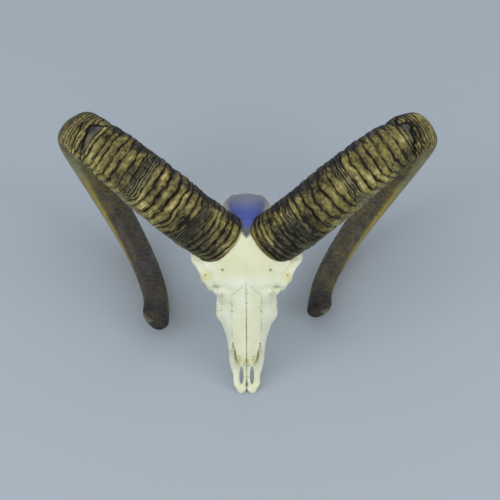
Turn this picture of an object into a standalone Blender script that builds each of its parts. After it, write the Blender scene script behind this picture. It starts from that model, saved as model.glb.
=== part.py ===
"""Skull of a mouflon-type wild ram, without the lower jaw: a still, life-size model.

The skull is drawn in its own frame, in metres: the tips of the premaxillae lie near the origin, +X is the
animal's left, +Y runs back along the palate and +Z rises from the palate to the brow. The whole skull then
turns about X and Y to the attitude in which it lies on a floor: on the muzzle and on the low bends of both
horns. Each bone that has its own name is its own solid, parted from the next one along its suture.
"""
import math

import bmesh
import bpy
import numpy as np
from mathutils import Matrix, Vector

# ---- driving dimensions of the skull, in metres ------------------------------------------------------------
GAP = 0.0003                 # open width of a suture, and of the joint between horn and bone
NASAL_TIP_Y = 0.034          # free tips of the nasal bones
NASION_Y = 0.136             # where the nasal bones end on the brow
NASAL_SUTURE_X = 0.0173      # half width of the nasal bones
NASAL_ARCH = 0.006           # how far their outer edges lie below the ridge
NASAL_THICKNESS = 0.0038
ORBIT_CENTRE = (0.0505, 0.150, 0.0665)
ORBIT_RADIUS_LONG = 0.0222   # front to back
ORBIT_RADIUS_HIGH = 0.0205
ORBIT_TURN = math.radians(25)   # how far the eye looks forward of straight out
TOOTH_ROW = (0.073, 0.147)   # front of the first cheek tooth and back of the last
TOOTH_DEPTH = 0.009          # crown below the palate's rim

# Lines that run along one side of the skull: (distance back, out from the middle, height).
# The middle of the roof and of the floor have no distance out.
ROOF = ((0.020, 0.030), (0.034, 0.0385), (0.064, 0.0535), (0.085, 0.0635), (0.110, 0.0755), (0.136, 0.0880),
        (0.157, 0.0965), (0.178, 0.1025), (0.197, 0.1050), (0.213, 0.1010), (0.228, 0.0890), (0.238, 0.0740),
        (0.2405, 0.0640))
SHOULDER = ((0.020, 0.010, 0.026), (0.064, 0.0150, 0.0490), (0.110, 0.0190, 0.0690),
            (0.127, 0.0270, 0.0770), (0.136, 0.0220, 0.0810), (0.165, 0.0210, 0.0880),
            (0.197, 0.0200, 0.0950), (0.222, 0.0205, 0.0860), (0.2405, 0.0160, 0.0600))
CHEEK = ((0.020, 0.0145, 0.0120), (0.034, 0.0185, 0.0140), (0.050, 0.0215, 0.0180), (0.068, 0.0235, 0.0260),
         (0.085, 0.0292, 0.0350), (0.098, 0.0360, 0.0410), (0.112, 0.0345, 0.0450), (0.124, 0.0345, 0.0560),
         (0.130, 0.0365, 0.0600), (0.1365, 0.0250, 0.0620), (0.152, 0.0215, 0.0640), (0.172, 0.0270, 0.0660),
         (0.195, 0.0325, 0.0640), (0.215, 0.0330, 0.0600), (0.230, 0.0290, 0.0560),
         (0.2405, 0.0190, 0.0500))
MOLAR_ROOT = ((0.020, 0.0140, 0.0090), (0.060, 0.0205, 0.0130), (0.098, 0.0325, 0.0260),
              (0.124, 0.0345, 0.0340), (0.142, 0.0350, 0.0330), (0.152, 0.0280, 0.0300),
              (0.160, 0.0170, 0.0320), (0.178, 0.0180, 0.0360), (0.200, 0.0270, 0.0380),
              (0.222, 0.0265, 0.0380), (0.2405, 0.0170, 0.0400))
PALATE_RIM = ((0.020, 0.0120, 0.0050), (0.060, 0.0170, 0.0050), (0.100, 0.0290, 0.0055),
              (0.136, 0.0320, 0.0060), (0.148, 0.0270, 0.0100), (0.157, 0.0120, 0.0240),
              (0.178, 0.0100, 0.0280), (0.205, 0.0170, 0.0280), (0.225, 0.0170, 0.0280),
              (0.2405, 0.0120, 0.0330))
PALATE = ((0.020, 0.0050), (0.060, 0.0095), (0.100, 0.0120), (0.136, 0.0130), (0.150, 0.0190),
          (0.158, 0.0290), (0.185, 0.0290), (0.215, 0.0270), (0.2405, 0.0320))

# The brow: a shield of bone that spreads over both eyes. (distance back, half width, drop of its edge)
BROW = ((0.122, 0.0250, 0.0120), (0.129, 0.0385, 0.0130), (0.137, 0.0535, 0.0125), (0.150, 0.0566, 0.0125),
        (0.160, 0.0610, 0.0140), (0.1680, 0.0636, 0.0155), (0.176, 0.0570, 0.0180), (0.190, 0.0400, 0.0140),
        (0.202, 0.0260, 0.0090))
BROW_MIDDLE_THICKNESS = 0.016
BROW_EDGE_THICKNESS = 0.007

# ---- driving dimensions of the horns ----------------------------------------------------------------------
# Each sheath follows one even curve: it leaves the brow sideways, back and up, bends at a nearly constant
# radius and twists slowly outward. Its section is an egg: broad in front, keeled on the inner curve.
# Three values are those at the base, at the bend and at the tip: bend and twist per metre, section_turn in
# degrees, depth and breadth as half sizes.
HORNS = {
    "horn_right": {
        "side": -1, "base": (0.0356, 0.1915, 0.0800), "heading": 33.2, "rise": 47.8, "roll": -12.7,
        "length": 0.620, "bend": (8.33, 8.63, 7.72), "twist": (1.70, 1.73, 2.89),
        "section_turn": (-7.3, -0.9, 1.7),
        "depth": (0.0265, 0.0257, 0.0196), "breadth": (0.0335, 0.0237, 0.0122), "egg": 0.26,
    },
    "horn_left": {
        "side": 1, "base": (0.0366, 0.1899, 0.0800), "heading": 36.1, "rise": 49.3, "roll": -9.1,
        "length": 0.637, "bend": (8.17, 8.27, 7.40), "twist": (1.96, 1.00, 4.77),
        "section_turn": (3.2, -7.2, -2.1),
        "depth": (0.0260, 0.0215, 0.0180), "breadth": (0.0332, 0.0240, 0.0110), "egg": 0.16,
    },
}
HORN_RINGS = 46
HORN_SIDES = 14
BEND_AT = 0.45               # the middle of the three values, as a share of the horn's length
STEP_AT = 0.305              # growth step before the turn
STEP_DEPTH = 0.0022
SWELL_AT = 0.19              # the sheath is broadest a little way up
SWELL = 0.0020
TIP_ROUNDING = 0.012         # length over which the blunt tip closes
PEDICLE_SHARE = 0.95         # core of bone against the sheath's base
PEDICLE_LENGTH = 0.022

# ---- attitude at rest -------------------------------------------------------------------------------------
REST_TILT = 39.4             # degrees, muzzle down, about X
REST_ROLL = 0.3              # degrees, about Y
FLAT_DEPTH = 0.0010          # how much the three resting points are worn flat

BONE_VOXEL = 0.0016
BONE_TRIANGLES = 2500


# ---- scene and materials ----------------------------------------------------------------------------------
def clear_scene():
    for ob in list(bpy.data.objects):
        bpy.data.objects.remove(ob, do_unlink=True)


def make_collection(name):
    collection = bpy.data.collections.new(name)
    bpy.context.scene.collection.children.link(collection)
    return collection


def make_material(name, colour, roughness):
    material = bpy.data.materials.new(name)
    material.use_nodes = True
    shader = material.node_tree.nodes["Principled BSDF"]
    shader.inputs["Base Color"].default_value = (*colour, 1.0)
    shader.inputs["Roughness"].default_value = roughness
    shader.inputs["Metallic"].default_value = 0.0
    material.diffuse_color = (*colour, 1.0)
    return material


# ---- curves and lofts -------------------------------------------------------------------------------------
def smooth_line(points):
    """A monotone cubic through (distance, value, ...) points; it gives an array of the values."""
    table = np.array(points, float)
    x, y = table[:, 0], table[:, 1:]
    step = np.diff(x)[:, None]
    slope = np.diff(y, axis=0) / step
    tangent = np.zeros_like(y)
    tangent[1:-1] = (slope[:-1] + slope[1:]) / 2
    tangent[0], tangent[-1] = slope[0], slope[-1]
    tangent[1:-1][slope[:-1] * slope[1:] <= 0] = 0.0
    for row in range(len(slope)):
        limit = 3 * np.abs(slope[row])
        tangent[row] = np.clip(tangent[row], -limit, limit)
        tangent[row + 1] = np.clip(tangent[row + 1], -limit, limit)

    def at(distance):
        i = int(np.clip(np.searchsorted(x, distance) - 1, 0, len(x) - 2))
        h = x[i + 1] - x[i]
        t = float(np.clip((distance - x[i]) / h, 0.0, 1.0))
        return ((2 * t**3 - 3 * t**2 + 1) * y[i] + (t**3 - 2 * t**2 + t) * h * tangent[i]
                + (3 * t**2 - 2 * t**3) * y[i + 1] + (t**3 - t**2) * h * tangent[i + 1])

    return at


def closed_curve(points, per_span):
    """Points on a closed Catmull-Rom curve through the given points."""
    p = np.array(points, float)
    before, after, later = np.roll(p, 1, 0), np.roll(p, -1, 0), np.roll(p, -2, 0)
    spans = []
    for k in range(per_span):
        t = k / per_span
        spans.append(0.5 * (2 * p + (after - before) * t + (2 * before - 5 * p + 4 * after - later) * t**2
                            + (3 * p - before - 3 * after + later) * t**3))
    return np.stack(spans, 1).reshape(-1, p.shape[1])


def loft(name, rings):
    """A closed body through rings of equally many points, with a fan on each end."""
    bm = bmesh.new()
    rows = [[bm.verts.new(p) for p in ring] for ring in rings]
    for lower, upper in zip(rows, rows[1:]):
        for i in range(len(lower)):
            j = (i + 1) % len(lower)
            bm.faces.new((lower[i], lower[j], upper[j], upper[i]))
    for row in (rows[0], rows[-1]):
        centre = bm.verts.new(sum((v.co for v in row), Vector()) / len(row))
        for i in range(len(row)):
            bm.faces.new((row[i], row[(i + 1) % len(row)], centre))
    bmesh.ops.recalc_face_normals(bm, faces=bm.faces)
    return finish_mesh(name, bm)


def finish_mesh(name, bm):
    mesh = bpy.data.meshes.new(name)
    bm.to_mesh(mesh)
    bm.free()
    ob = bpy.data.objects.new(name, mesh)
    bpy.context.scene.collection.objects.link(ob)
    return ob


def bar(name, centres, half_sizes, sides=12):
    """A rounded bar along a smooth route. half_sizes are (across, up) at each of the centres."""
    share = np.linspace(0.0, 1.0, len(centres))
    route = smooth_line([(s, *c) for s, c in zip(share, centres)])
    size = smooth_line([(s, *h) for s, h in zip(share, half_sizes)])
    count = 5 * (len(centres) - 1)
    rings = []
    for i in range(count + 1):
        s = i / count
        along = Vector(route(min(s + 0.02, 1.0)) - route(max(s - 0.02, 0.0))).normalized()
        across = along.cross(Vector((0, 0, 1))).normalized()
        up = across.cross(along)
        close = math.sqrt(max(1 - max(abs(2 * s - 1) - 0.86, 0) ** 2 / 0.14**2 * 0.75, 0.1))
        a, b = size(s) * close
        rings.append([Vector(route(s)) + across * (a * math.cos(t)) + up * (b * math.sin(t))
                      for t in np.linspace(0, 2 * math.pi, sides, endpoint=False)])
    return loft(name, rings)


def ball(name, centre, radii):
    bm = bmesh.new()
    bmesh.ops.create_uvsphere(bm, u_segments=16, v_segments=10, radius=1.0)
    bmesh.ops.scale(bm, vec=radii, verts=bm.verts)
    bmesh.ops.translate(bm, vec=centre, verts=bm.verts)
    return finish_mesh(name, bm)


def block(name, low, high):
    bm = bmesh.new()
    bmesh.ops.create_cube(bm, size=1.0)
    bmesh.ops.scale(bm, vec=Vector(high) - Vector(low), verts=bm.verts)
    bmesh.ops.translate(bm, vec=(Vector(high) + Vector(low)) / 2, verts=bm.verts)
    return finish_mesh(name, bm)


def side_prism(name, outline, low_x, high_x):
    """A prism across the skull with a (distance back, height) outline."""
    return loft(name, [[(x, y, z) for y, z in outline] for x in (low_x, high_x)])


def mirrored(ob, name):
    """A copy on the other side of the middle plane."""
    bm = bmesh.new()
    bm.from_mesh(ob.data)
    bmesh.ops.scale(bm, vec=(-1, 1, 1), verts=bm.verts)
    bmesh.ops.reverse_faces(bm, faces=bm.faces)
    return finish_mesh(name, bm)


# ---- joining, cutting and thinning ------------------------------------------------------------------------
def evaluated_copy(ob, name):
    graph = bpy.context.evaluated_depsgraph_get()
    mesh = bpy.data.meshes.new_from_object(ob.evaluated_get(graph))
    copy = bpy.data.objects.new(name, mesh)
    bpy.context.scene.collection.objects.link(copy)
    return copy


def boolean(ob, tool, operation):
    """ob is replaced by its union, difference or intersection with tool, which is kept."""
    modifier = ob.modifiers.new(operation.lower(), "BOOLEAN")
    modifier.operation = operation
    modifier.object = tool
    modifier.solver = "EXACT"
    result = evaluated_copy(ob, ob.name)
    ob.modifiers.clear()
    ob.data = result.data
    bpy.data.objects.remove(result)
    return ob


def keep_largest(ob):
    """Crumbs that a cut leaves loose are dropped."""
    bm = bmesh.new()
    bm.from_mesh(ob.data)
    bmesh.ops.triangulate(bm, faces=bm.faces)
    bm.faces.ensure_lookup_table()
    unseen = set(range(len(bm.faces)))
    groups = []
    while unseen:
        stack = [unseen.pop()]
        group = []
        while stack:
            face = bm.faces[stack.pop()]
            group.append(face)
            for edge in face.edges:
                for other in edge.link_faces:
                    if other.index in unseen:
                        unseen.discard(other.index)
                        stack.append(other.index)
        groups.append(group)
    groups.sort(key=lambda group: sum(face.calc_area() for face in group))
    crumbs = [face for group in groups[:-1] for face in group]
    bmesh.ops.delete(bm, geom=crumbs, context="FACES")
    bmesh.ops.dissolve_degenerate(bm, dist=1e-6, edges=bm.edges)
    bmesh.ops.triangulate(bm, faces=bm.faces)
    bm.to_mesh(ob.data)
    bm.free()


def part_off(rest, cell, inner_cell, name):
    """The bone inside the cell comes off the rest, which keeps a suture's width away."""
    piece = evaluated_copy(rest, name)
    boolean(piece, inner_cell, "INTERSECT")
    boolean(rest, cell, "DIFFERENCE")
    keep_largest(piece)
    for tool in {cell, inner_cell}:
        bpy.data.objects.remove(tool)
    return piece


# ---- the bones --------------------------------------------------------------------------------------------
def skull_core():
    """The long body of the skull, from the diastema to the back of the braincase."""
    roof, shoulder, cheek = smooth_line(ROOF), smooth_line(SHOULDER), smooth_line(CHEEK)
    root, rim, palate = smooth_line(MOLAR_ROOT), smooth_line(PALATE_RIM), smooth_line(PALATE)
    rings = []
    for y in np.linspace(ROOF[0][0], ROOF[-1][0], 56):
        side = [shoulder(y), cheek(y), root(y), rim(y)]
        half = [(0.0, roof(y)[0] - 0.0012)] + [tuple(p) for p in side] + [(0.0, palate(y)[0])]
        other = [(-x, z) for x, z in half[-2:0:-1]]
        rings.append([(x, y, z) for x, z in closed_curve(half + other, 4)])
    core = loft("core", rings)
    occiput = ball("occiput", (0, 0.222, 0.060), (0.0305, 0.0195, 0.0300))
    return [core, occiput]


def open_nose(core):
    """The nasal cavity opens forward and, ahead of the nasal bones' edges, upward."""
    cavity = loft("cavity", [
        [(w * math.cos(t), y, z + h * math.sin(t)) for t in np.linspace(0, 2 * math.pi, 16, endpoint=False)]
        for y, w, z, h in ((0.008, 0.010, 0.026, 0.016), (0.034, 0.0130, 0.030, 0.0195),
                           (0.060, 0.0150, 0.033, 0.0210), (0.085, 0.0135, 0.037, 0.0190),
                           (0.105, 0.0080, 0.044, 0.0120))])
    front = side_prism("front", ((-0.010, 0.0115), (0.026, 0.0115), (0.070, 0.0560), (0.060, 0.110),
                                 (-0.010, 0.110)), -0.060, 0.060)
    boolean(core, cavity, "DIFFERENCE")
    boolean(core, front, "DIFFERENCE")
    for tool in (cavity, front):
        bpy.data.objects.remove(tool)


def nasal_bone():
    """One of two thin arched plates over the nose, free at the pointed tip."""
    roof = smooth_line(ROOF)
    inner = smooth_line(((NASAL_TIP_Y, 0.0052), (0.043, 0.0010), (0.052, -0.0006), (0.140, -0.0006)))
    outer = smooth_line(((NASAL_TIP_Y, 0.0066), (0.042, 0.0104), (0.052, 0.0132), (0.064, 0.0152),
                         (0.085, 0.0170), (0.140, 0.0178)))
    rings = []
    for y in np.linspace(NASAL_TIP_Y, 0.134, 26):
        across = np.linspace(inner(y)[0], outer(y)[0], 6)
        top = [(x, y, roof(y)[0] - NASAL_ARCH * (x / NASAL_SUTURE_X) ** 2) for x in across]
        bottom = [(x, y, z - NASAL_THICKNESS) for x, y, z in top]
        rings.append(top + bottom[::-1])
    return loft("nasal", rings)


def brow_shield():
    roof, brow = smooth_line(ROOF), smooth_line(BROW)
    rings = []
    for y in np.linspace(BROW[0][0], BROW[-1][0], 28):
        half_width, drop = brow(y)
        ring = []
        for t in np.linspace(0, 2 * math.pi, 36, endpoint=False):
            share = math.copysign(abs(math.cos(t)) ** 0.75, math.cos(t))
            thick = BROW_MIDDLE_THICKNESS + (BROW_EDGE_THICKNESS - BROW_MIDDLE_THICKNESS) * abs(share)
            middle = roof(y)[0] - drop * abs(share) ** 2.2 - thick / 2
            ring.append((half_width * share, y, middle + thick / 2 * math.sin(t)))
        rings.append(ring)
    return loft("brow", rings)


def orbit_rim():
    """The bony ring round one eye, thickest over the eye and behind it."""
    centre = Vector(ORBIT_CENTRE)
    long = Vector((math.sin(ORBIT_TURN), math.cos(ORBIT_TURN), 0))
    out = Vector((math.cos(ORBIT_TURN), -math.sin(ORBIT_TURN), 0))
    rings = []
    for t in np.linspace(0, 2 * math.pi, 40, endpoint=False):
        ray = long * (ORBIT_RADIUS_LONG * math.cos(t)) + Vector((0, 0, ORBIT_RADIUS_HIGH * math.sin(t)))
        away = ray.normalized()
        wide = 0.0052 + 0.0008 * math.cos(t)
        rings.append([centre + ray + away * (0.0034 * math.cos(a)) + out * (wide * math.sin(a))
                      for a in np.linspace(0, 2 * math.pi, 10, endpoint=False)])
    bm = bmesh.new()
    rows = [[bm.verts.new(p) for p in ring] for ring in rings]
    for lower, upper in zip(rows, rows[1:] + rows[:1]):
        for i in range(len(lower)):
            j = (i + 1) % len(lower)
            bm.faces.new((lower[i], lower[j], upper[j], upper[i]))
    bmesh.ops.recalc_face_normals(bm, faces=bm.faces)
    return finish_mesh("orbit rim", bm)


def cheek_and_arch():
    """The cheek below the eye and the arch that runs back to the ear."""
    cheek = bar("cheek", ((0.0315, 0.096, 0.0400), (0.0310, 0.112, 0.0430), (0.0335, 0.125, 0.0430),
                          (0.0430, 0.138, 0.0430), (0.0500, 0.150, 0.0430)),
                ((0.0035, 0.0040), (0.0040, 0.0080), (0.0040, 0.0085), (0.0040, 0.0070), (0.0040, 0.0060)))
    arch = bar("arch", ((0.0480, 0.140, 0.0425), (0.0545, 0.158, 0.0445), (0.0560, 0.176, 0.0490),
                        (0.0520, 0.196, 0.0520), (0.0420, 0.211, 0.0500), (0.0270, 0.216, 0.0480)),
               ((0.0035, 0.0060), (0.0033, 0.0060), (0.0030, 0.0055), (0.0034, 0.0055), (0.0060, 0.0060),
                (0.0080, 0.0080)))
    lacrimal = ball("lacrimal", (0.0300, 0.1270, 0.0640), (0.0105, 0.0070, 0.0160))
    return [cheek, arch, lacrimal]


def premaxilla():
    """One half of the muzzle's end: a rounded tip, an outer bar that climbs beside the nose, an inner bar."""
    outer = bar("outer bar", ((0.0085, 0.005, 0.0065), (0.0122, 0.012, 0.0075), (0.0128, 0.022, 0.0085),
                              (0.0158, 0.034, 0.0120), (0.0178, 0.046, 0.0215), (0.0178, 0.058, 0.0360),
                              (0.0168, 0.069, 0.0480)),
                ((0.0038, 0.0046), (0.0042, 0.0044), (0.0038, 0.0042), (0.0040, 0.0052), (0.0036, 0.0056),
                 (0.0028, 0.0050), (0.0022, 0.0036)))
    inner = bar("inner bar", ((0.0050, 0.006, 0.0055), (0.0030, 0.013, 0.0055), (0.0022, 0.024, 0.0062),
                              (0.0022, 0.040, 0.0080)),
                ((0.0020, 0.0030), (0.0019, 0.0026), (0.0018, 0.0024), (0.0020, 0.0024)))
    tip = ball("tip", (0.0066, 0.0058, 0.0058), (0.0062, 0.0070, 0.0052))
    return [outer, inner, tip]


def skull_base():
    """Condyles, jugular processes, ear capsules, pterygoid plates and the bar between them, for one side."""
    condyle = ball("condyle", (0.0125, 0.2335, 0.0320), (0.0085, 0.0090, 0.0115))
    jugular = bar("jugular", ((0.0270, 0.224, 0.0400), (0.0265, 0.228, 0.0240), (0.0245, 0.230, 0.0080)),
                  ((0.0050, 0.0060), (0.0030, 0.0050), (0.0020, 0.0032)))
    capsule = ball("ear capsule", (0.0215, 0.2120, 0.0250), (0.0075, 0.0105, 0.0105))
    ear = bar("ear opening", ((0.0240, 0.2140, 0.0360), (0.0370, 0.2190, 0.0430)),
              ((0.0060, 0.0060), (0.0050, 0.0050)))
    pterygoid = bar("pterygoid", ((0.0125, 0.150, 0.0150), (0.0115, 0.160, 0.0190), (0.0110, 0.175, 0.0250)),
                    ((0.0020, 0.0060), (0.0018, 0.0090), (0.0018, 0.0060)))
    nuchal = bar("nuchal crest", ((0.0010, 0.2365, 0.0760), (0.0140, 0.2335, 0.0735),
                                  (0.0240, 0.2255, 0.0640), (0.0300, 0.2160, 0.0520)),
                 ((0.0028, 0.0028), (0.0026, 0.0026), (0.0024, 0.0024), (0.0028, 0.0028)))
    return [condyle, jugular, capsule, ear, pterygoid, nuchal]


def cheek_teeth(side):
    """Six cheek teeth in one row. Each is a ridged block, wider to the back of the row."""
    count = 6
    front, back = TOOTH_ROW
    weights = np.array([0.75, 0.85, 0.9, 1.1, 1.25, 1.3])
    edges = front + (back - front) * np.concatenate([[0], np.cumsum(weights) / weights.sum()])
    row_line = smooth_line(((0.070, 0.0215, 0.0052), (0.098, 0.0275, 0.0068), (0.125, 0.0300, 0.0074),
                            (0.150, 0.0285, 0.0068)))
    corners = ((-1, -0.7), (-0.6, -1), (0.6, -1), (1, -0.7), (1, 0.7), (0.6, 1), (-0.6, 1), (-1, 0.7))
    teeth = []
    for i in range(count):
        low, high = edges[i] + 0.0004, edges[i + 1] - 0.0004
        centre_x, half_width = row_line((low + high) / 2)
        rings = []
        for z, grow in ((0.0100, 0.80), (-0.5 * TOOTH_DEPTH, 1.0), (-TOOTH_DEPTH, 0.86)):
            ring = []
            for u, v in corners:
                ring.append((side * (centre_x + half_width * v * grow),
                             (low + high) / 2 + (high - low) / 2 * u * min(grow + 0.05, 1.0), z))
            rings.append(ring)
        teeth.append(loft("tooth", rings))
    return teeth


# ---- the horns --------------------------------------------------------------------------------------------
def turn_about(vector, spin):
    """vector turned about the axis and through the angle of the rotation vector spin."""
    angle = spin.length
    if angle < 1e-12:
        return vector.copy()
    return Matrix.Rotation(angle, 3, spin / angle) @ vector


def along_horn(values, share):
    """The parabola through the values at the base, the bend and the tip."""
    base, bend, tip = values
    m = BEND_AT
    return (base * (share - m) * (share - 1) / m + bend * share * (share - 1) / (m * (m - 1))
            + tip * share * (share - m) / (1 - m))


def horn_frames(horn, count):
    """Centre, depth direction and breadth direction at count places along the horn of the -X side."""
    heading, rise, roll = (math.radians(horn[k]) for k in ("heading", "rise", "roll"))
    out, back, up = horn["base"]
    place = Vector((-out, back, up))
    along = Vector((-math.cos(heading) * math.cos(rise), math.sin(heading) * math.cos(rise), math.sin(rise)))
    inward = Vector((0, 0, -1)) + along * along.z
    inward.normalize()
    normal = Matrix.Rotation(roll, 3, along) @ inward
    binormal = along.cross(normal)
    step = horn["length"] / (count - 1)
    frames = []
    for i in range(count):
        turn = math.radians(along_horn(horn["section_turn"], i / (count - 1)))
        deep = normal * math.cos(turn) + binormal * math.sin(turn)
        broad = binormal * math.cos(turn) - normal * math.sin(turn)
        frames.append((place.copy(), along.copy(), deep, broad))
        middle = (i + 0.5) / (count - 1)
        twist, bend = along_horn(horn["twist"], middle), along_horn(horn["bend"], middle)
        spin = (along * twist + binormal * bend) * step
        ahead = turn_about(along, spin)
        place += (along + ahead).normalized() * step
        along, normal, binormal = ahead, turn_about(normal, spin), turn_about(binormal, spin)
    return frames


def horn_ring(horn, frame, share, grow=0.0, scale=1.0):
    """The egg-shaped section, as points round the sheath."""
    place, _, deep, broad = frame
    side = horn["side"]
    swell = SWELL * math.exp(-(((share - SWELL_AT) / 0.10) ** 2))
    step = STEP_DEPTH * math.exp(-(((share - STEP_AT) / 0.010) ** 2))
    size = [along_horn(horn[key], share) * scale + grow - step for key in ("depth", "breadth")]
    size[1] += swell
    left_over = min((1 - share) * horn["length"] / TIP_ROUNDING, 1.0)
    close = math.sqrt(1 - (1 - left_over) ** 2 * 0.80)
    ring = []
    for t in np.linspace(0, 2 * math.pi, HORN_SIDES, endpoint=False):
        inward = -math.cos(t)
        across = math.sin(t) * (1 - horn["egg"] * inward)
        point = place + deep * (size[0] * close * inward) + broad * (size[1] * close * across)
        ring.append(Vector((-side * point.x, point.y, point.z)))
    return ring


def horn_stations():
    """Even steps along the horn, with a few closer ones at the growth step and the tip."""
    even = np.linspace(0, 1, HORN_RINGS - 8)
    extra = [STEP_AT - 0.012, STEP_AT - 0.004, STEP_AT + 0.004, STEP_AT + 0.012, 0.986, 0.992, 0.9965, 0.999]
    return np.unique(np.round(np.concatenate([even, extra]), 4))


def horn_sheath(name, horn, grow=0.0, first=0.0):
    fine = 601
    frames = horn_frames(horn, fine)
    rings = []
    for share in horn_stations():
        rings.append(horn_ring(horn, frames[round(share * (fine - 1))], share, grow))
    if first:
        along = frames[0][1]
        back = Vector((-horn["side"] * along.x, along.y, along.z)) * first
        rings[0] = [p - back for p in rings[0]]
    return loft(name, rings)


def pedicle(horn):
    """The core of bone that carries a sheath. It runs on into the horn until the horn's seat is cut."""
    frames = horn_frames(horn, 601)
    along = frames[0][1]
    run = Vector((-horn["side"] * along.x, along.y, along.z))
    rings = []
    for offset, scale in ((-PEDICLE_LENGTH, 0.80), (-PEDICLE_LENGTH * 0.6, 0.90), (-0.004, PEDICLE_SHARE),
                          (0.004, PEDICLE_SHARE), (0.012, PEDICLE_SHARE - 0.05)):
        rings.append([p + run * offset for p in horn_ring(horn, frames[0], 0.0, scale=scale)])
    return loft("pedicle", rings)


# ---- assembly ---------------------------------------------------------------------------------------------
def palatine_fissure(side):
    """A long slot between the inner and outer bars of the premaxilla, open right through."""
    rings = []
    for z in (-0.010, 0.016):
        rings.append([(side * (0.0062 + 0.0019 * math.cos(t)), 0.0215 + 0.0100 * math.sin(t), z)
                      for t in np.linspace(0, 2 * math.pi, 16, endpoint=False)])
    return loft("palatine fissure", rings)


def fused_bones():
    """Every bone as one grown body: the pieces are melted together, smoothed and thinned to few faces."""
    core, occiput = skull_core()
    open_nose(core)
    one_side = [nasal_bone(), orbit_rim()] + cheek_and_arch() + premaxilla() + skull_base()
    pieces = [core, occiput, brow_shield()] + one_side + [mirrored(ob, ob.name) for ob in one_side]
    pieces += [pedicle(horn) for horn in HORNS.values()]
    bm = bmesh.new()
    for piece in pieces:
        bm.from_mesh(piece.data)
        bpy.data.objects.remove(piece)
    whole = finish_mesh("skull", bm)
    remesh = whole.modifiers.new("melt", "REMESH")
    remesh.mode = "VOXEL"
    remesh.voxel_size = BONE_VOXEL
    smooth = whole.modifiers.new("soften", "SMOOTH")
    smooth.factor = 0.5
    smooth.iterations = 5
    melted = evaluated_copy(whole, "melted")
    bpy.data.objects.remove(whole)
    thin = melted.modifiers.new("thin", "DECIMATE")
    thin.ratio = BONE_TRIANGLES / (2 * len(melted.data.polygons))
    bones = evaluated_copy(melted, "bones")
    bpy.data.objects.remove(melted)
    holes = [palatine_fissure(side) for side in (1, -1)]
    holes.append(ball("foramen magnum", (0, 0.2430, 0.0470), (0.0095, 0.0180, 0.0085)))
    holes.append(ball("choanae", (0, 0.1530, 0.0180), (0.0085, 0.0140, 0.0100)))
    for hole in holes:
        boolean(bones, hole, "DIFFERENCE")
        bpy.data.objects.remove(hole)
    keep_largest(bones)
    return bones


def nasal_cell(side, inset):
    roof = smooth_line(ROOF)
    inner, outer = inset / 2 + GAP / 2, NASAL_SUTURE_X - inset
    rings = []
    for row, y in enumerate((0.024, 0.040, 0.055, 0.070, 0.085, 0.100, 0.115, NASION_Y)):
        last = row == 7
        across = np.linspace(inner, outer, 5)
        bottom, top = [], []
        for x in across:
            back = y - inset - (0.85 * x if last else 0.0)
            arch = NASAL_ARCH * (x / NASAL_SUTURE_X) ** 2
            height = roof(back)[0]
            bottom.append((side * x, back, height - arch - NASAL_THICKNESS - 0.0016 + inset))
            top.append((side * x, back, height + 0.020))
        rings.append(bottom + top[::-1])
    return loft("nasal cell", rings)


def premaxilla_cell(side, inset):
    outline = [(-0.02, -0.03), (0.012 - inset, -0.03), (0.026 - inset, 0.0), (0.068 - inset, 0.056),
               (0.068 - inset, 0.09), (-0.02, 0.09)]
    return side_prism("premaxilla cell", outline, side * (inset / 2 + GAP / 2), side * 0.08)


def zygomatic_cell(side, inset):
    outline = [(0.1000, 0.0330), (0.1040, 0.0560), (0.1160, 0.0740), (0.1300, 0.0800), (0.1390, 0.0640),
               (0.1860, 0.0640), (0.1860, 0.0300), (0.1500, 0.0335)]
    middle = np.mean(outline, axis=0)
    shrunk = []
    for y, z in outline:
        toward = middle - (y, z)
        toward = toward / np.linalg.norm(toward) * inset * 1.5
        shrunk.append((y + toward[0], z + toward[1]))
    return side_prism("zygomatic cell", shrunk, side * (0.0290 + inset), side * 0.09)


def frontal_cell(inset):
    outline = [(0.1120 + inset, 0.0680 + inset), (0.1420, 0.0600 + inset), (0.1720, 0.0560 + inset),
               (0.1980 - inset, 0.0740 + inset), (0.2150 - inset, 0.1120), (0.2150 - inset, 0.1500),
               (0.1120 + inset, 0.1500)]
    return side_prism("frontal cell", outline, -0.09, 0.09)


def maxilla_cell(side, inset):
    return block("maxilla cell", (min(side * (inset / 2 + GAP / 2), side * 0.09), -0.02, -0.03),
                 (max(side * (inset / 2 + GAP / 2), side * 0.09), 0.1520 - inset, 0.10))


def place_at_rest(objects, carrier):
    for ob in objects:
        ob.parent = carrier
    carrier.rotation_euler = (math.radians(REST_TILT), math.radians(REST_ROLL), 0.0)
    bpy.context.view_layer.update()
    points = np.array([ob.matrix_world @ v.co for ob in objects for v in ob.data.vertices])
    low, high = points.min(0), points.max(0)
    carrier.location = (-(low[0] + high[0]) / 2, -(low[1] + high[1]) / 2, -low[2] - FLAT_DEPTH)
    bpy.context.view_layer.update()
    floor = block("floor", (-0.5, -0.5, -0.1), (0.5, 0.5, 0.0))
    for ob in objects:
        if min((ob.matrix_world @ v.co).z for v in ob.data.vertices) < 0:
            boolean(ob, floor, "DIFFERENCE")
            keep_largest(ob)
    bpy.data.objects.remove(floor)


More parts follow.
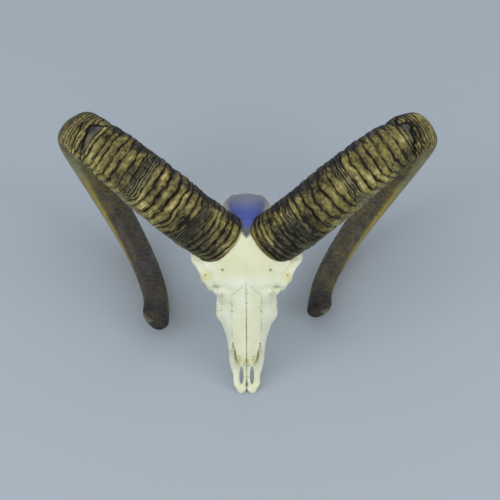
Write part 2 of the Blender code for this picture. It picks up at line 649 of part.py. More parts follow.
def main():
    clear_scene()
    model = make_collection("ram skull")
    bone = make_material("bleached bone", (0.62, 0.64, 0.45), 0.55)
    horn_material = make_material("horn keratin", (0.10, 0.085, 0.035), 0.60)

    rest = fused_bones()
    horns = {}
    for name, horn in HORNS.items():
        horns[name] = horn_sheath(name, horn)
        seat = horn_sheath("seat", horn, grow=GAP, first=GAP)
        boolean(rest, seat, "DIFFERENCE")
        bpy.data.objects.remove(seat)

    nodes = {}
    cells = {"nasal": nasal_cell, "premaxilla": premaxilla_cell, "zygomatic": zygomatic_cell}
    for bone_name, cell in cells.items():
        for label, side in (("left", 1), ("right", -1)):
            name = bone_name + "_" + label
            nodes[name] = part_off(rest, cell(side, 0.0), cell(side, GAP), name)
    nodes["frontal"] = part_off(rest, frontal_cell(0.0), frontal_cell(GAP), "frontal")
    for label, side in (("left", 1), ("right", -1)):
        name = "maxilla_" + label
        nodes[name] = part_off(rest, maxilla_cell(side, 0.0), maxilla_cell(side, GAP), name)
        for tooth in cheek_teeth(side):
            boolean(nodes[name], tooth, "UNION")
            bpy.data.objects.remove(tooth)
        keep_largest(nodes[name])
    rest.name = "braincase"
    keep_largest(rest)
    nodes["braincase"] = rest

    for name, ob in {**nodes, **horns}.items():
        ob.name = name
        ob.data.name = name
        ob.data.materials.clear()
        ob.data.materials.append(horn_material if name in horns else bone)
        bpy.context.scene.collection.objects.unlink(ob)
        model.objects.link(ob)
    carrier = bpy.data.objects.new("attitude at rest", None)
    model.objects.link(carrier)
    place_at_rest([*nodes.values(), *horns.values()], carrier)


main()
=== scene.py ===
"""A ram's skull with its horns, without the lower jaw, lying on a studio floor.

First comes the attitude it lies in, then the bones of the face and the braincase, which meet along sutures,
then the cheek teeth in their sockets, and last the horn sheaths on their cores of bone. Everything is drawn
in the skull's own frame, in metres: the muzzle's tip is near the origin, +X is the animal's left, +Y runs
back along the palate and +Z rises from the palate to the brow.
"""
import math

import bpy
import numpy as np
import openvdb
from mathutils import Matrix, Vector


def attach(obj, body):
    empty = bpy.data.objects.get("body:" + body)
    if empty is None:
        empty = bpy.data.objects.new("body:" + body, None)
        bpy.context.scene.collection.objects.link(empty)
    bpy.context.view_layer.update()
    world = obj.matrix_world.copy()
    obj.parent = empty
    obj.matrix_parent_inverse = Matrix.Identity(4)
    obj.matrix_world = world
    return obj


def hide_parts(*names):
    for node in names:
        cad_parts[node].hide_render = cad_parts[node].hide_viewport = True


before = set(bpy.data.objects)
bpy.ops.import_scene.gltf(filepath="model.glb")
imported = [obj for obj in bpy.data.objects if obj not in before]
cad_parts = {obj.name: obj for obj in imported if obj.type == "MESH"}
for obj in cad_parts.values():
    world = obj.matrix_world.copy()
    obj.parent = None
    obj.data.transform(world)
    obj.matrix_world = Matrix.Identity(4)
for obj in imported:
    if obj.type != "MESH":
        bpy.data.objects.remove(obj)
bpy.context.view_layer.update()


# ============================================================================================================
# How the skull lies, and the camera over it
# The skull lies on the tips of its muzzle and on the low bend of each horn, nose down. The camera looks
# straight down on the face, square to the palate, from a metre and a half away.
# ============================================================================================================
REST_TILT = 39.4                       # degrees about X, muzzle down
REST_ROLL = 0.3                        # degrees about Y
MUZZLE_PLACE = (-0.00222, -0.14099, -0.00340)     # where the skull's own origin lies over the floor
LENS_OVER_FACE = (0.0040, 0.1746, 1.600)          # the camera, in the skull's frame
LENS_MM = 93.9
SENSOR_MM = 36.0
FAR_CLIP = 20.0

at_rest = Matrix.Translation(MUZZLE_PLACE) @ Matrix.Rotation(math.radians(REST_ROLL), 4, "Y").to_4x4()
at_rest = at_rest @ Matrix.Rotation(math.radians(REST_TILT), 4, "X")

camera_data = bpy.data.cameras.new("camera")
camera_data.lens = LENS_MM
camera_data.sensor_width = SENSOR_MM
camera_data.clip_end = FAR_CLIP
camera = bpy.data.objects.new("camera", camera_data)
camera.matrix_world = at_rest @ Matrix.Translation(LENS_OVER_FACE)
bpy.context.scene.collection.objects.link(camera)
bpy.context.scene.camera = camera


# ============================================================================================================
# Studio floor and light
# A sheet of pale blue-grey backdrop paper lies flat under the skull. One large soft box hangs over it and the
# room is bright all round, so that shadows stay faint.
# ============================================================================================================
PAPER = "#A8B1B9"
PAPER_TOOTH_MM = 1.1
FLOOR_SIZE = 8.0
ROOM = "#E4E8EE"
ROOM_STRENGTH = 0.86
LIGHT_AIM = (0.0, 0.0, 0.1)
LIGHTS = (                             # name, place, width in metres and power in watts
    ("soft_box", (-0.45, -0.75, 2.2), 2.4, 9.0),
    ("left_fill", (-1.5, -0.9, 1.0), 1.2, 8.0),
    ("right_fill", (1.5, -0.9, 1.0), 1.2, 9.0),
)


def colour(hex_code):
    """An sRGB hex colour as linear red, green, blue and alpha."""
    parts = [int(hex_code[i:i + 2], 16) / 255 for i in (1, 3, 5)]
    return [p / 12.92 if p <= 0.04045 else ((p + 0.055) / 1.055) ** 2.4 for p in parts] + [1.0]


def set_inputs(tree, node, inputs):
    """Sets a node's inputs, by name or number, to values, to hex colours or to the outputs of other nodes."""
    for key, value in inputs.items():
        if isinstance(value, bpy.types.NodeSocket):
            tree.links.new(value, node.inputs[key])
        else:
            node.inputs[key].default_value = colour(value) if isinstance(value, str) else value


def add_node(tree, kind, inputs=None, **settings):
    """A node with its settings, and its inputs as set_inputs takes them."""
    node = tree.nodes.new(kind)
    for key, value in settings.items():
        setattr(node, key, value)
    set_inputs(tree, node, inputs or {})
    return node


def new_material(name):
    """An empty material, with its node tree and its shader."""
    material = bpy.data.materials.new(name)
    material.use_nodes = True
    return material, material.node_tree, material.node_tree.nodes["Principled BSDF"]


# Backdrop paper: uncoated and matt, with a faint tooth.
paper, tree, shader = new_material("backdrop paper")
where = add_node(tree, "ShaderNodeTexCoord").outputs["Object"]
tooth = add_node(tree, "ShaderNodeTexNoise", {"Vector": where, "Scale": 1000 / PAPER_TOOTH_MM, "Detail": 3.0})
press = add_node(tree, "ShaderNodeBump",
                 {"Height": tooth.outputs["Fac"], "Strength": 0.05, "Distance": 0.0004})
set_inputs(tree, shader, {"Base Color": PAPER, "Normal": press.outputs["Normal"], "Roughness": 0.95,
                          "Specular IOR Level": 0.1})

floor_mesh = bpy.data.meshes.new("floor")
reach = FLOOR_SIZE / 2
floor_mesh.from_pydata([(-reach, -reach, 0), (reach, -reach, 0), (reach, reach, 0), (-reach, reach, 0)], [],
                       [(0, 1, 2, 3)])
floor_mesh.materials.append(paper)
floor = bpy.data.objects.new("floor", floor_mesh)
bpy.context.scene.collection.objects.link(floor)

room = bpy.data.worlds.new("bright room")
room.use_nodes = True
set_inputs(room.node_tree, room.node_tree.nodes["Background"], {"Color": ROOM, "Strength": ROOM_STRENGTH})
bpy.context.scene.world = room

for name, place, size, power in LIGHTS:
    light = bpy.data.lights.new(name, "AREA")
    light.shape = "DISK"
    light.size = size
    light.energy = power
    lamp = bpy.data.objects.new(name, light)
    lamp.location = place
    lamp.rotation_euler = (Vector(LIGHT_AIM) - Vector(place)).to_track_quat("-Z", "Y").to_euler()
    bpy.context.scene.collection.objects.link(lamp)
bpy.context.scene.view_settings.view_transform = "Standard"


# ============================================================================================================
# The forms of the bones
# A skull is thin bone grown together. Its forms are drawn here as lofts, bars and balls: the long body of the
# face and braincase, the shield of the brow, the rings of the eyes, the cheeks with their arches, the nasal
# plates, the end of the muzzle and the knobs of the base. They are then melted into one in a fine field.
# ============================================================================================================
GRAIN = 0.0007                         # width of one cell of the field
FIELD_LOW = (-0.0690, -0.0050, -0.0150)           # the field's lowest and highest corner, round all bones
FIELD_HIGH = (0.0690, 0.2500, 0.1190)
BAND = 3                               # the field is exact for this many cells on each side of the surface
SUTURE_GAP = 0.00012

NASAL_TIP_Y = 0.034
NASION_Y = 0.136
NASAL_SUTURE_X = 0.0173
NASAL_ARCH = 0.006
NASAL_THICKNESS = 0.0038
ORBIT_CENTRE = (0.0505, 0.150, 0.0665)
ORBIT_RADIUS_LONG = 0.0222
ORBIT_RADIUS_HIGH = 0.0205
ORBIT_TURN = math.radians(25)
ORBIT_RIM_WIDTH = 0.0052               # half widths of the rim, which is broader at the back
ORBIT_RIM_SWELL = 0.0008
ORBIT_RIM_DEPTH = 0.0034
ORBIT_RINGS = 96

# Lines along one side of the skull: (distance back, out from the middle, height). The roof and the palate
# run along its middle and have no second value. The brow has its half width and how far its edge drops.
ROOF = ((0.020, 0.030), (0.034, 0.0385), (0.064, 0.0535), (0.085, 0.0635), (0.110, 0.0755), (0.136, 0.0880),
        (0.157, 0.0965), (0.178, 0.1025), (0.197, 0.1050), (0.213, 0.1010), (0.228, 0.0890), (0.238, 0.0740),
        (0.2405, 0.0640))
SHOULDER = ((0.020, 0.010, 0.026), (0.064, 0.0150, 0.0490), (0.110, 0.0190, 0.0690),
            (0.127, 0.0270, 0.0770), (0.136, 0.0220, 0.0810), (0.165, 0.0210, 0.0880),
            (0.197, 0.0200, 0.0950), (0.222, 0.0205, 0.0860), (0.2405, 0.0160, 0.0600))
CHEEK = ((0.020, 0.0145, 0.0120), (0.034, 0.0185, 0.0140), (0.050, 0.0215, 0.0180), (0.068, 0.0235, 0.0260),
         (0.085, 0.0292, 0.0350), (0.098, 0.0360, 0.0410), (0.112, 0.0345, 0.0450), (0.124, 0.0345, 0.0560),
         (0.130, 0.0365, 0.0600), (0.1365, 0.0250, 0.0620), (0.152, 0.0215, 0.0640), (0.172, 0.0270, 0.0660),
         (0.195, 0.0325, 0.0640), (0.215, 0.0330, 0.0600), (0.230, 0.0290, 0.0560),
         (0.2405, 0.0190, 0.0500))
MOLAR_ROOT = ((0.020, 0.0140, 0.0090), (0.060, 0.0205, 0.0130), (0.098, 0.0325, 0.0260),
              (0.124, 0.0345, 0.0340), (0.142, 0.0350, 0.0330), (0.152, 0.0280, 0.0300),
              (0.160, 0.0170, 0.0320), (0.178, 0.0180, 0.0360), (0.200, 0.0270, 0.0380),
              (0.222, 0.0265, 0.0380), (0.2405, 0.0170, 0.0400))
PALATE_RIM = ((0.020, 0.0120, 0.0050), (0.060, 0.0170, 0.0050), (0.100, 0.0290, 0.0055),
              (0.136, 0.0320, 0.0060), (0.148, 0.0270, 0.0100), (0.157, 0.0120, 0.0240),
              (0.178, 0.0100, 0.0280), (0.205, 0.0170, 0.0280), (0.225, 0.0170, 0.0280),
              (0.2405, 0.0120, 0.0330))
PALATE = ((0.020, 0.0050), (0.060, 0.0095), (0.100, 0.0120), (0.136, 0.0130), (0.150, 0.0190),
          (0.158, 0.0290), (0.185, 0.0290), (0.215, 0.0270), (0.2405, 0.0320))
BROW = ((0.122, 0.0250, 0.0120), (0.129, 0.0385, 0.0130), (0.137, 0.0535, 0.0125), (0.150, 0.0566, 0.0125),
        (0.160, 0.0610, 0.0140), (0.1680, 0.0636, 0.0155), (0.176, 0.0570, 0.0180), (0.190, 0.0400, 0.0140),
        (0.202, 0.0260, 0.0090))
ROOF_SINK = 0.0012                     # how far the core stays under the roof line, below the nasals and brow
BROW_MIDDLE_THICKNESS = 0.016
BROW_EDGE_THICKNESS = 0.007
BROW_SIDES = 96

# The rounded bars and balls that the smaller forms are made of.
BAR_RINGS = 14                         # from one given centre to the next
BAR_SIDES = 20
BAR_END = 0.14                         # share of a bar's half length over which its end draws in
BALL_RINGS = 26
BALL_SIDES = 36
HOLE_SIDES = 40


def smooth_line(points):
    """A monotone cubic through (distance, value, ...) points, for one distance or an array of them."""
    table = np.array(points, float)
    x, y = table[:, 0], table[:, 1:]
    step = np.diff(x)[:, None]
    slope = np.diff(y, axis=0) / step
    tangent = np.zeros_like(y)
    tangent[1:-1] = (slope[:-1] + slope[1:]) / 2
    tangent[0], tangent[-1] = slope[0], slope[-1]
    tangent[1:-1][slope[:-1] * slope[1:] <= 0] = 0.0
    for row in range(len(slope)):
        limit = 3 * np.abs(slope[row])
        tangent[row] = np.clip(tangent[row], -limit, limit)
        tangent[row + 1] = np.clip(tangent[row + 1], -limit, limit)

    def at(distance):
        """The values at a distance, or at each of an array of them."""
        i = np.clip(np.searchsorted(x, distance) - 1, 0, len(x) - 2)
        h = (x[i + 1] - x[i])[..., None]
        t = np.clip((np.asarray(distance)[..., None] - x[i][..., None]) / h, 0.0, 1.0)
        return ((2 * t**3 - 3 * t**2 + 1) * y[i] + (t**3 - 2 * t**2 + t) * h * tangent[i]
                + (3 * t**2 - 2 * t**3) * y[i + 1] + (t**3 - t**2) * h * tangent[i + 1])

    return at


def closed_curve(points, per_span):
    """Points on a closed Catmull-Rom curve through the given points."""
    p = np.array(points, float)
    before, after, later = np.roll(p, 1, 0), np.roll(p, -1, 0), np.roll(p, -2, 0)
    spans = []
    for k in range(per_span):
        t = k / per_span
        spans.append(0.5 * (2 * p + (after - before) * t + (2 * before - 5 * p + 4 * after - later) * t**2
                            + (3 * p - before - 3 * after + later) * t**3))
    return np.stack(spans, 1).reshape(-1, p.shape[1])


def round_angles(count):
    """Even angles once round, in radians."""
    return np.linspace(0, 2 * math.pi, count, endpoint=False)


def rings_body(rings, ring_shaped=False):
    """A body through rings of equally many points: its points and triangles, closed by a fan on each end."""
    grid = np.array([[tuple(point) for point in ring] for ring in rings], float)
    rows, sides = grid.shape[:2]
    numbers = np.arange(rows * sides).reshape(rows, sides)
    if ring_shaped:
        numbers = np.vstack([numbers, numbers[:1]])
    a, b = numbers[:-1], np.roll(numbers, -1, 1)[:-1]
    c, d = np.roll(numbers, -1, 1)[1:], numbers[1:]
    triangles = [np.stack([a, b, c], -1).reshape(-1, 3), np.stack([a, c, d], -1).reshape(-1, 3)]
    points = grid.reshape(-1, 3)
    if not ring_shaped:
        for row, turned in ((0, True), (rows - 1, False)):
            middle = len(points)
            points = np.vstack([points, grid[row].mean(0)])
            fan = np.stack([numbers[row], np.roll(numbers[row], -1), np.full(sides, middle)], -1)
            triangles.append(fan[:, ::-1] if turned else fan)
    return points, np.vstack(triangles)


def mirrored(body):
    """The same body on the other side of the skull."""
    points, triangles = body
    return points * (-1, 1, 1), triangles[:, ::-1]


def bar(centres, half_sizes):
    """A rounded bar along a smooth route. half_sizes are (across, up) at each of the centres."""
    knots = np.linspace(0.0, 1.0, len(centres))
    route = smooth_line([(s, *centre) for s, centre in zip(knots, centres)])
    size = smooth_line([(s, *half) for s, half in zip(knots, half_sizes)])
    count = BAR_RINGS * (len(centres) - 1)
    rings = []
    for i in range(count + 1):
        s = i / count
        along = Vector(route(min(s + 0.02, 1.0)) - route(max(s - 0.02, 0.0))).normalized()
        across = along.cross(Vector((0, 0, 1))).normalized()
        up = across.cross(along)
        past_end = max(abs(2 * s - 1) - 1 + BAR_END, 0) / BAR_END
        wide, high = size(s) * math.sqrt(1 - 0.75 * past_end**2)
        rings.append([Vector(route(s)) + across * (wide * math.cos(t)) + up * (high * math.sin(t))
                      for t in round_angles(BAR_SIDES)])
    return rings_body(rings)


def ball(centre, radii):
    """A ball or egg with its radii along X, Y and Z."""
    lifts = np.linspace(-math.pi / 2 + 0.02, math.pi / 2 - 0.02, BALL_RINGS)
    unit = np.array([[(math.cos(lift) * math.cos(t), math.cos(lift) * math.sin(t), math.sin(lift))
                      for t in round_angles(BALL_SIDES)] for lift in lifts])
    return rings_body(unit * radii + centre)


def skull_core():
    """The long body of the skull, from the gap behind the muzzle to the swollen back of the braincase."""
    roof, shoulder, cheek = smooth_line(ROOF), smooth_line(SHOULDER), smooth_line(CHEEK)
    root, rim, palate = smooth_line(MOLAR_ROOT), smooth_line(PALATE_RIM), smooth_line(PALATE)
    rings = []
    for y in np.linspace(ROOF[0][0], ROOF[-1][0], 180):
        side = [shoulder(y), cheek(y), root(y), rim(y)]
        half = [(0.0, roof(y)[0] - ROOF_SINK)] + [tuple(p) for p in side] + [(0.0, palate(y)[0])]
        other = [(-x, z) for x, z in half[-2:0:-1]]
        rings.append([(x, y, z) for x, z in closed_curve(half + other, 10)])
    return [rings_body(rings), ball((0, 0.222, 0.060), (0.0305, 0.0195, 0.0300))]


def nose_cavity():
    """The hollow of the nose, through rings of (distance back, half width, height, half height)."""
    return rings_body([
        [(w * math.cos(t), y, z + h * math.sin(t)) for t in round_angles(HOLE_SIDES)]
        for y, w, z, h in ((0.008, 0.010, 0.026, 0.016), (0.034, 0.0130, 0.030, 0.0195),
                           (0.060, 0.0150, 0.033, 0.0210), (0.085, 0.0135, 0.037, 0.0190),
                           (0.105, 0.0080, 0.044, 0.0120))])


def nose_front():
    """What is cut away in front of the slanting edge of the nose."""
    outline = ((-0.010, 0.0115), (0.026, 0.0115), (0.070, 0.0560), (0.060, 0.110), (-0.010, 0.110))
    return rings_body([[(x, y, z) for y, z in outline] for x in (-0.060, 0.060)])


def nasal_bone():
    """One of two thin arched plates over the nose, free at the pointed tip."""
    roof = smooth_line(ROOF)
    inner = smooth_line(((NASAL_TIP_Y, 0.0052), (0.043, 0.0010), (0.052, -0.0006), (0.140, -0.0006)))
    outer = smooth_line(((NASAL_TIP_Y, 0.0066), (0.042, 0.0104), (0.052, 0.0132), (0.064, 0.0152),
                         (0.085, 0.0170), (0.140, 0.0178)))
    rings = []
    for y in np.linspace(NASAL_TIP_Y, 0.134, 90):
        across = np.linspace(inner(y)[0], outer(y)[0], 14)
        top = [(x, y, roof(y)[0] - NASAL_ARCH * (x / NASAL_SUTURE_X) ** 2) for x in across]
        bottom = [(x, y, z - NASAL_THICKNESS) for x, y, z in top]
        rings.append(top + bottom[::-1])
    return rings_body(rings)


def brow_shield():
    """The shield of the brow, from the back of the nose to behind the horns, thinner towards its edges."""
    roof, brow = smooth_line(ROOF), smooth_line(BROW)
    rings = []
    for y in np.linspace(BROW[0][0], BROW[-1][0], 100):
        half_width, drop = brow(y)
        ring = []
        for t in round_angles(BROW_SIDES):
            share = math.copysign(abs(math.cos(t)) ** 0.75, math.cos(t))
            thick = BROW_MIDDLE_THICKNESS + (BROW_EDGE_THICKNESS - BROW_MIDDLE_THICKNESS) * abs(share)
            middle = roof(y)[0] - drop * abs(share) ** 2.2 - thick / 2
            ring.append((half_width * share, y, middle + thick / 2 * math.sin(t)))
        rings.append(ring)
    return rings_body(rings)


def orbit_rim():
    """The bony ring round one eye, broadest behind it."""
    centre = Vector(ORBIT_CENTRE)
    long = Vector((math.sin(ORBIT_TURN), math.cos(ORBIT_TURN), 0))
    out = Vector((math.cos(ORBIT_TURN), -math.sin(ORBIT_TURN), 0))
    rings = []
    for t in round_angles(ORBIT_RINGS):
        ray = long * (ORBIT_RADIUS_LONG * math.cos(t)) + Vector((0, 0, ORBIT_RADIUS_HIGH * math.sin(t)))
        away = ray.normalized()
        wide = ORBIT_RIM_WIDTH + ORBIT_RIM_SWELL * math.cos(t)
        rings.append([centre + ray + away * (ORBIT_RIM_DEPTH * math.cos(a)) + out * (wide * math.sin(a))
                      for a in round_angles(BAR_SIDES)])
    return rings_body(rings, ring_shaped=True)


def cheek_and_arch():
    """The cheek below the eye, the arch that runs back to the ear, and the wall in front of the eye."""
    cheek = bar(((0.0315, 0.096, 0.0400), (0.0310, 0.112, 0.0430), (0.0335, 0.125, 0.0430),
                 (0.0430, 0.138, 0.0430), (0.0500, 0.150, 0.0430)),
                ((0.0035, 0.0040), (0.0040, 0.0080), (0.0040, 0.0085), (0.0040, 0.0070), (0.0040, 0.0060)))
    arch = bar(((0.0480, 0.140, 0.0425), (0.0545, 0.158, 0.0445), (0.0560, 0.176, 0.0490),
                (0.0520, 0.196, 0.0520), (0.0420, 0.211, 0.0500), (0.0270, 0.216, 0.0480)),
               ((0.0035, 0.0060), (0.0033, 0.0060), (0.0030, 0.0055), (0.0034, 0.0055), (0.0060, 0.0060),
                (0.0080, 0.0080)))
    lacrimal = ball((0.0300, 0.1270, 0.0640), (0.0105, 0.0070, 0.0160))
    return [cheek, arch, lacrimal]


def muzzle_end():
    """One half of the muzzle's end: a rounded tip, an outer bar that climbs beside the nose, an inner bar."""
    outer = bar(((0.0085, 0.005, 0.0065), (0.0122, 0.012, 0.0075), (0.0128, 0.022, 0.0085),
                 (0.0158, 0.034, 0.0120), (0.0178, 0.046, 0.0215), (0.0178, 0.058, 0.0360),
                 (0.0168, 0.069, 0.0480)),
                ((0.0038, 0.0046), (0.0042, 0.0044), (0.0038, 0.0042), (0.0040, 0.0052), (0.0036, 0.0056),
                 (0.0028, 0.0050), (0.0022, 0.0036)))
    inner = bar(((0.0050, 0.006, 0.0055), (0.0030, 0.013, 0.0055), (0.0022, 0.024, 0.0062),
                 (0.0022, 0.040, 0.0080)),
                ((0.0020, 0.0030), (0.0019, 0.0026), (0.0018, 0.0024), (0.0020, 0.0024)))
    return [outer, inner, ball((0.0066, 0.0058, 0.0058), (0.0062, 0.0070, 0.0052))]


def skull_base():
    """Condyle, jugular process, ear capsule and opening, pterygoid plate and nuchal crest of one side."""
    condyle = ball((0.0125, 0.2335, 0.0320), (0.0085, 0.0090, 0.0115))
    jugular = bar(((0.0270, 0.224, 0.0400), (0.0265, 0.228, 0.0240), (0.0245, 0.230, 0.0080)),
                  ((0.0050, 0.0060), (0.0030, 0.0050), (0.0020, 0.0032)))
    capsule = ball((0.0215, 0.2120, 0.0250), (0.0075, 0.0105, 0.0105))
    ear = bar(((0.0240, 0.2140, 0.0360), (0.0370, 0.2190, 0.0430)), ((0.0060, 0.0060), (0.0050, 0.0050)))
    pterygoid = bar(((0.0125, 0.150, 0.0150), (0.0115, 0.160, 0.0190), (0.0110, 0.175, 0.0250)),
                    ((0.0020, 0.0060), (0.0018, 0.0090), (0.0018, 0.0060)))
    nuchal = bar(((0.0010, 0.2365, 0.0760), (0.0140, 0.2335, 0.0735), (0.0240, 0.2255, 0.0640),
                  (0.0300, 0.2160, 0.0520)),
                 ((0.0028, 0.0028), (0.0026, 0.0026), (0.0024, 0.0024), (0.0028, 0.0028)))
    return [condyle, jugular, capsule, ear, pterygoid, nuchal]


def palatine_fissure(side):
    """A long slot between the inner and outer bars of the muzzle's end, open right through."""
    return rings_body([[(side * (0.0064 + 0.0026 * math.cos(t)), 0.0218 + 0.0110 * math.sin(t), z)
                        for t in round_angles(HOLE_SIDES)] for z in (-0.010, 0.016)])


# ============================================================================================================
# The line of the horns
# A horn grows from the brow on a core of bone, the pedicle. Its sheath follows one even curve that bends at a
# nearly constant radius and twists slowly outward; the section is an egg. The bones need this line too,
# because the sheath sits in a seat of bone.
# ============================================================================================================
# Angles in degrees and sizes in metres. Of three values, the first is at the base and the last at the tip.
# bend and twist are in radians for each metre, depth and breadth are halves of the section, and egg is how
# much broader it is on its front.
HORNS = {
    "horn_right": {
        "side": -1, "base": (0.0356, 0.1915, 0.0800), "heading": 33.2, "rise": 47.8, "roll": -12.7,
        "length": 0.620, "bend": (8.33, 8.63, 7.72), "twist": (1.70, 1.73, 2.89),
        "section_turn": (-7.3, -0.9, 1.7),
        "depth": (0.0265, 0.0257, 0.0196), "breadth": (0.0335, 0.0237, 0.0122), "egg": 0.26,
    },
    "horn_left": {
        "side": 1, "base": (0.0366, 0.1899, 0.0800), "heading": 36.1, "rise": 49.3, "roll": -9.1,
        "length": 0.637, "bend": (8.17, 8.27, 7.40), "twist": (1.96, 1.00, 4.77),
        "section_turn": (3.2, -7.2, -2.1),
        "depth": (0.0260, 0.0215, 0.0180), "breadth": (0.0332, 0.0240, 0.0110), "egg": 0.16,
    },
}
LINE_STEPS = 1200
BEND_AT = 0.45               # the middle of the three values, as a share of the horn's length
STEP_AT = 0.305              # growth step before the turn
STEP_DEPTH = 0.0022
STEP_WIDTH = 0.010
SWELL_AT = 0.19              # the sheath is broadest a little way up
SWELL = 0.0020
SWELL_WIDTH = 0.10
TIP_ROUNDING = 0.009
TIP_CLOSING = 0.55           # how far the broken, blunt tip closes, from 0 to 1
TUCK = 0.11                  # the base is drawn in on its lower side, over the eye
TUCK_LENGTH = 0.045
PEDICLE_LENGTH = 0.022
PEDICLE_FOOT = ((1.0, 0.80), (0.6, 0.90))         # rings: share of its length behind the horn's base, width
PEDICLE_TOP = ((-0.006, 0.95), (0.006, 0.95), (0.018, 0.90))      # rings: share of the horn's length, width


def hill(distance, width):
    """1 where distance is 0, falling softly to 0 on both sides over about this width."""
    return np.exp(-((distance / width) ** 2))


def along_horn(values, share):
    """The parabola through the values at the base, the bend and the tip."""
    base, bend, tip = values
    return (base * (share - BEND_AT) * (share - 1) / BEND_AT
            + bend * share * (share - 1) / (BEND_AT * (BEND_AT - 1))
            + tip * share * (share - BEND_AT) / (1 - BEND_AT))


def turn_about(vector, spin):
    """vector turned about the axis and through the angle of the rotation vector spin."""
    return Matrix.Rotation(spin.length, 3, spin.normalized()) @ vector


def horn_line(horn):
    """Places along the horn's middle with the directions along, inward and across there, as arrays."""
    heading, rise, roll = (math.radians(horn[key]) for key in ("heading", "rise", "roll"))
    out, back, up = horn["base"]
    place = Vector((-out, back, up))
    along = Vector((-math.cos(heading) * math.cos(rise), math.sin(heading) * math.cos(rise), math.sin(rise)))
    inward = (Vector((0, 0, -1)) + along * along.z).normalized()
    normal = Matrix.Rotation(roll, 3, along) @ inward
    binormal = along.cross(normal)
    step = horn["length"] / LINE_STEPS
    rows = []
    for i in range(LINE_STEPS + 1):
        turn = math.radians(along_horn(horn["section_turn"], i / LINE_STEPS))
        deep = normal * math.cos(turn) + binormal * math.sin(turn)
        broad = binormal * math.cos(turn) - normal * math.sin(turn)
        rows.append([*place, *along, *deep, *broad])
        middle = (i + 0.5) / LINE_STEPS
        twist, bend = along_horn(horn["twist"], middle), along_horn(horn["bend"], middle)
        spin = (along * twist + binormal * bend) * step
        ahead = turn_about(along, spin)
        place = place + (along + ahead).normalized() * step
        along, normal, binormal = ahead, turn_about(normal, spin), turn_about(binormal, spin)
    table = np.array(rows).reshape(-1, 4, 3)
    table[:, :, 0] *= -horn["side"]
    return table


def horn_surface(horn, line, share, angles, grow=0.0, scale=1.0):
    """Points of the smooth sheath at shares of its length (below 0, behind its base) and angles round it.

    share holds one value for each ring, or one for each point of each ring.
    """
    share = np.broadcast_to(share if np.ndim(share) == 2 else share[:, None], (len(share), len(angles)))
    held = np.clip(share, 0.0, 1.0)
    steps = held * LINE_STEPS
    low = np.minimum(steps.astype(int), LINE_STEPS - 1)
    part = (steps - low)[..., None, None]
    place, along, deep, broad = np.moveaxis(line[low] * (1 - part) + line[low + 1] * part, 2, 0)
    place = place + along * ((share - held) * horn["length"])[..., None]
    thinning = STEP_DEPTH * hill(held - STEP_AT, STEP_WIDTH)
    depth = along_horn(horn["depth"], held) * scale + grow - thinning
    breadth = along_horn(horn["breadth"], held) * scale + grow - thinning
    breadth = breadth + SWELL * hill(held - SWELL_AT, SWELL_WIDTH)
    left_over = np.minimum((1 - held) * horn["length"] / TIP_ROUNDING, 1.0)
    close = np.sqrt(1 - (1 - left_over) ** 2 * TIP_CLOSING)
    inward = -np.cos(angles)
    across = np.sin(angles) * (1 - horn["egg"] * inward)
    across = across * (1 - TUCK * np.maximum(np.sin(angles), 0) * hill(held, TUCK_LENGTH))
    return place + deep * (depth * close * inward)[..., None] + broad * (breadth * close * across)[..., None]


def horn_body(horn, rings):
    """A body through rings of a horn. The rings of the left horn run the other way round."""
    return rings_body([ring[::-1] for ring in rings] if horn["side"] > 0 else rings)


horn_lines = {name: horn_line(horn) for name, horn in HORNS.items()}
ring_angles = round_angles(72)
pedicles = []
for name, horn in HORNS.items():
    foot = [(-PEDICLE_LENGTH / horn["length"] * part, scale) for part, scale in PEDICLE_FOOT]
    rings = [horn_surface(horn, horn_lines[name], np.array([share]), ring_angles, 0.0, scale)[0]
             for share, scale in (*foot, *PEDICLE_TOP)]
    pedicles.append(horn_body(horn, rings))


# ============================================================================================================
# The bones melted into one
# Bone flows from one form to the next without an edge. The forms are laid into a field of distances, the nose
# is hollowed before the plates over it are added, and all is softened a little. The slots of the muzzle, the
# great hole for the spinal cord, the back of the nose and the seats of the horns are cut last.
# ============================================================================================================
SOFTENING = 4                          # passes
LIP = 0.0022                           # thickness of the sheath's edge where it lies on the brow
LIE_SOFTNESS = 0.0012                  # how softly the sheath comes to lie on the brow
LYING_ARC = 95                         # degrees to each side of its front in which it lies on the brow
LYING_SHARE = 0.10                     # share of its length in which it does
MARGIN_SHARE = 0.05                    # share of the horn's length over which its rings follow its edge

# How far the edge of each sheath lies down over the brow, in mm, for angles round the horn in degrees.
MARGINS = {
    "horn_right": ((-180, 0.5), (-100, 1), (-60, 2), (-40, 3), (-20, 5), (0, 6.5), (20, 8), (40, 5), (60, 2),
                   (90, 0.5), (180, 0.5)),
    "horn_left": ((-180, 0.5), (-100, 1), (-80, 2), (-60, 5), (-40, 10), (-20, 9), (0, 8), (20, 7), (40, 4),
                  (60, 1), (90, 0.5), (180, 0.5)),
}

field_low = np.floor(np.array(FIELD_LOW) / GRAIN).astype(int)
field_shape = np.ceil(np.array(FIELD_HIGH) / GRAIN).astype(int) - field_low
field_x, field_y, field_z = (((np.arange(n) + low) * GRAIN).astype(np.float32)
                             for n, low in zip(field_shape, field_low))
field_x, field_y, field_z = field_x[:, None, None], field_y[None, :, None], field_z[None, None, :]


def field_of(bodies):
    """The field of distances, negative inside, of bodies that may run into each other."""
    points, triangles, count = [], [], 0
    for body_points, body_triangles in bodies:
        points.append(body_points)
        triangles.append(body_triangles + count)
        count += len(body_points)
    grid = openvdb.FloatGrid.createLevelSetFromPolygons(
        np.vstack(points).astype(np.float32), triangles=np.vstack(triangles).astype(np.uint32),
        transform=openvdb.createLinearTransform(GRAIN), halfWidth=float(BAND))
    values = np.empty(field_shape, np.float32)
    grid.copyToArray(values, ijk=tuple(int(i) for i in field_low))
    return values


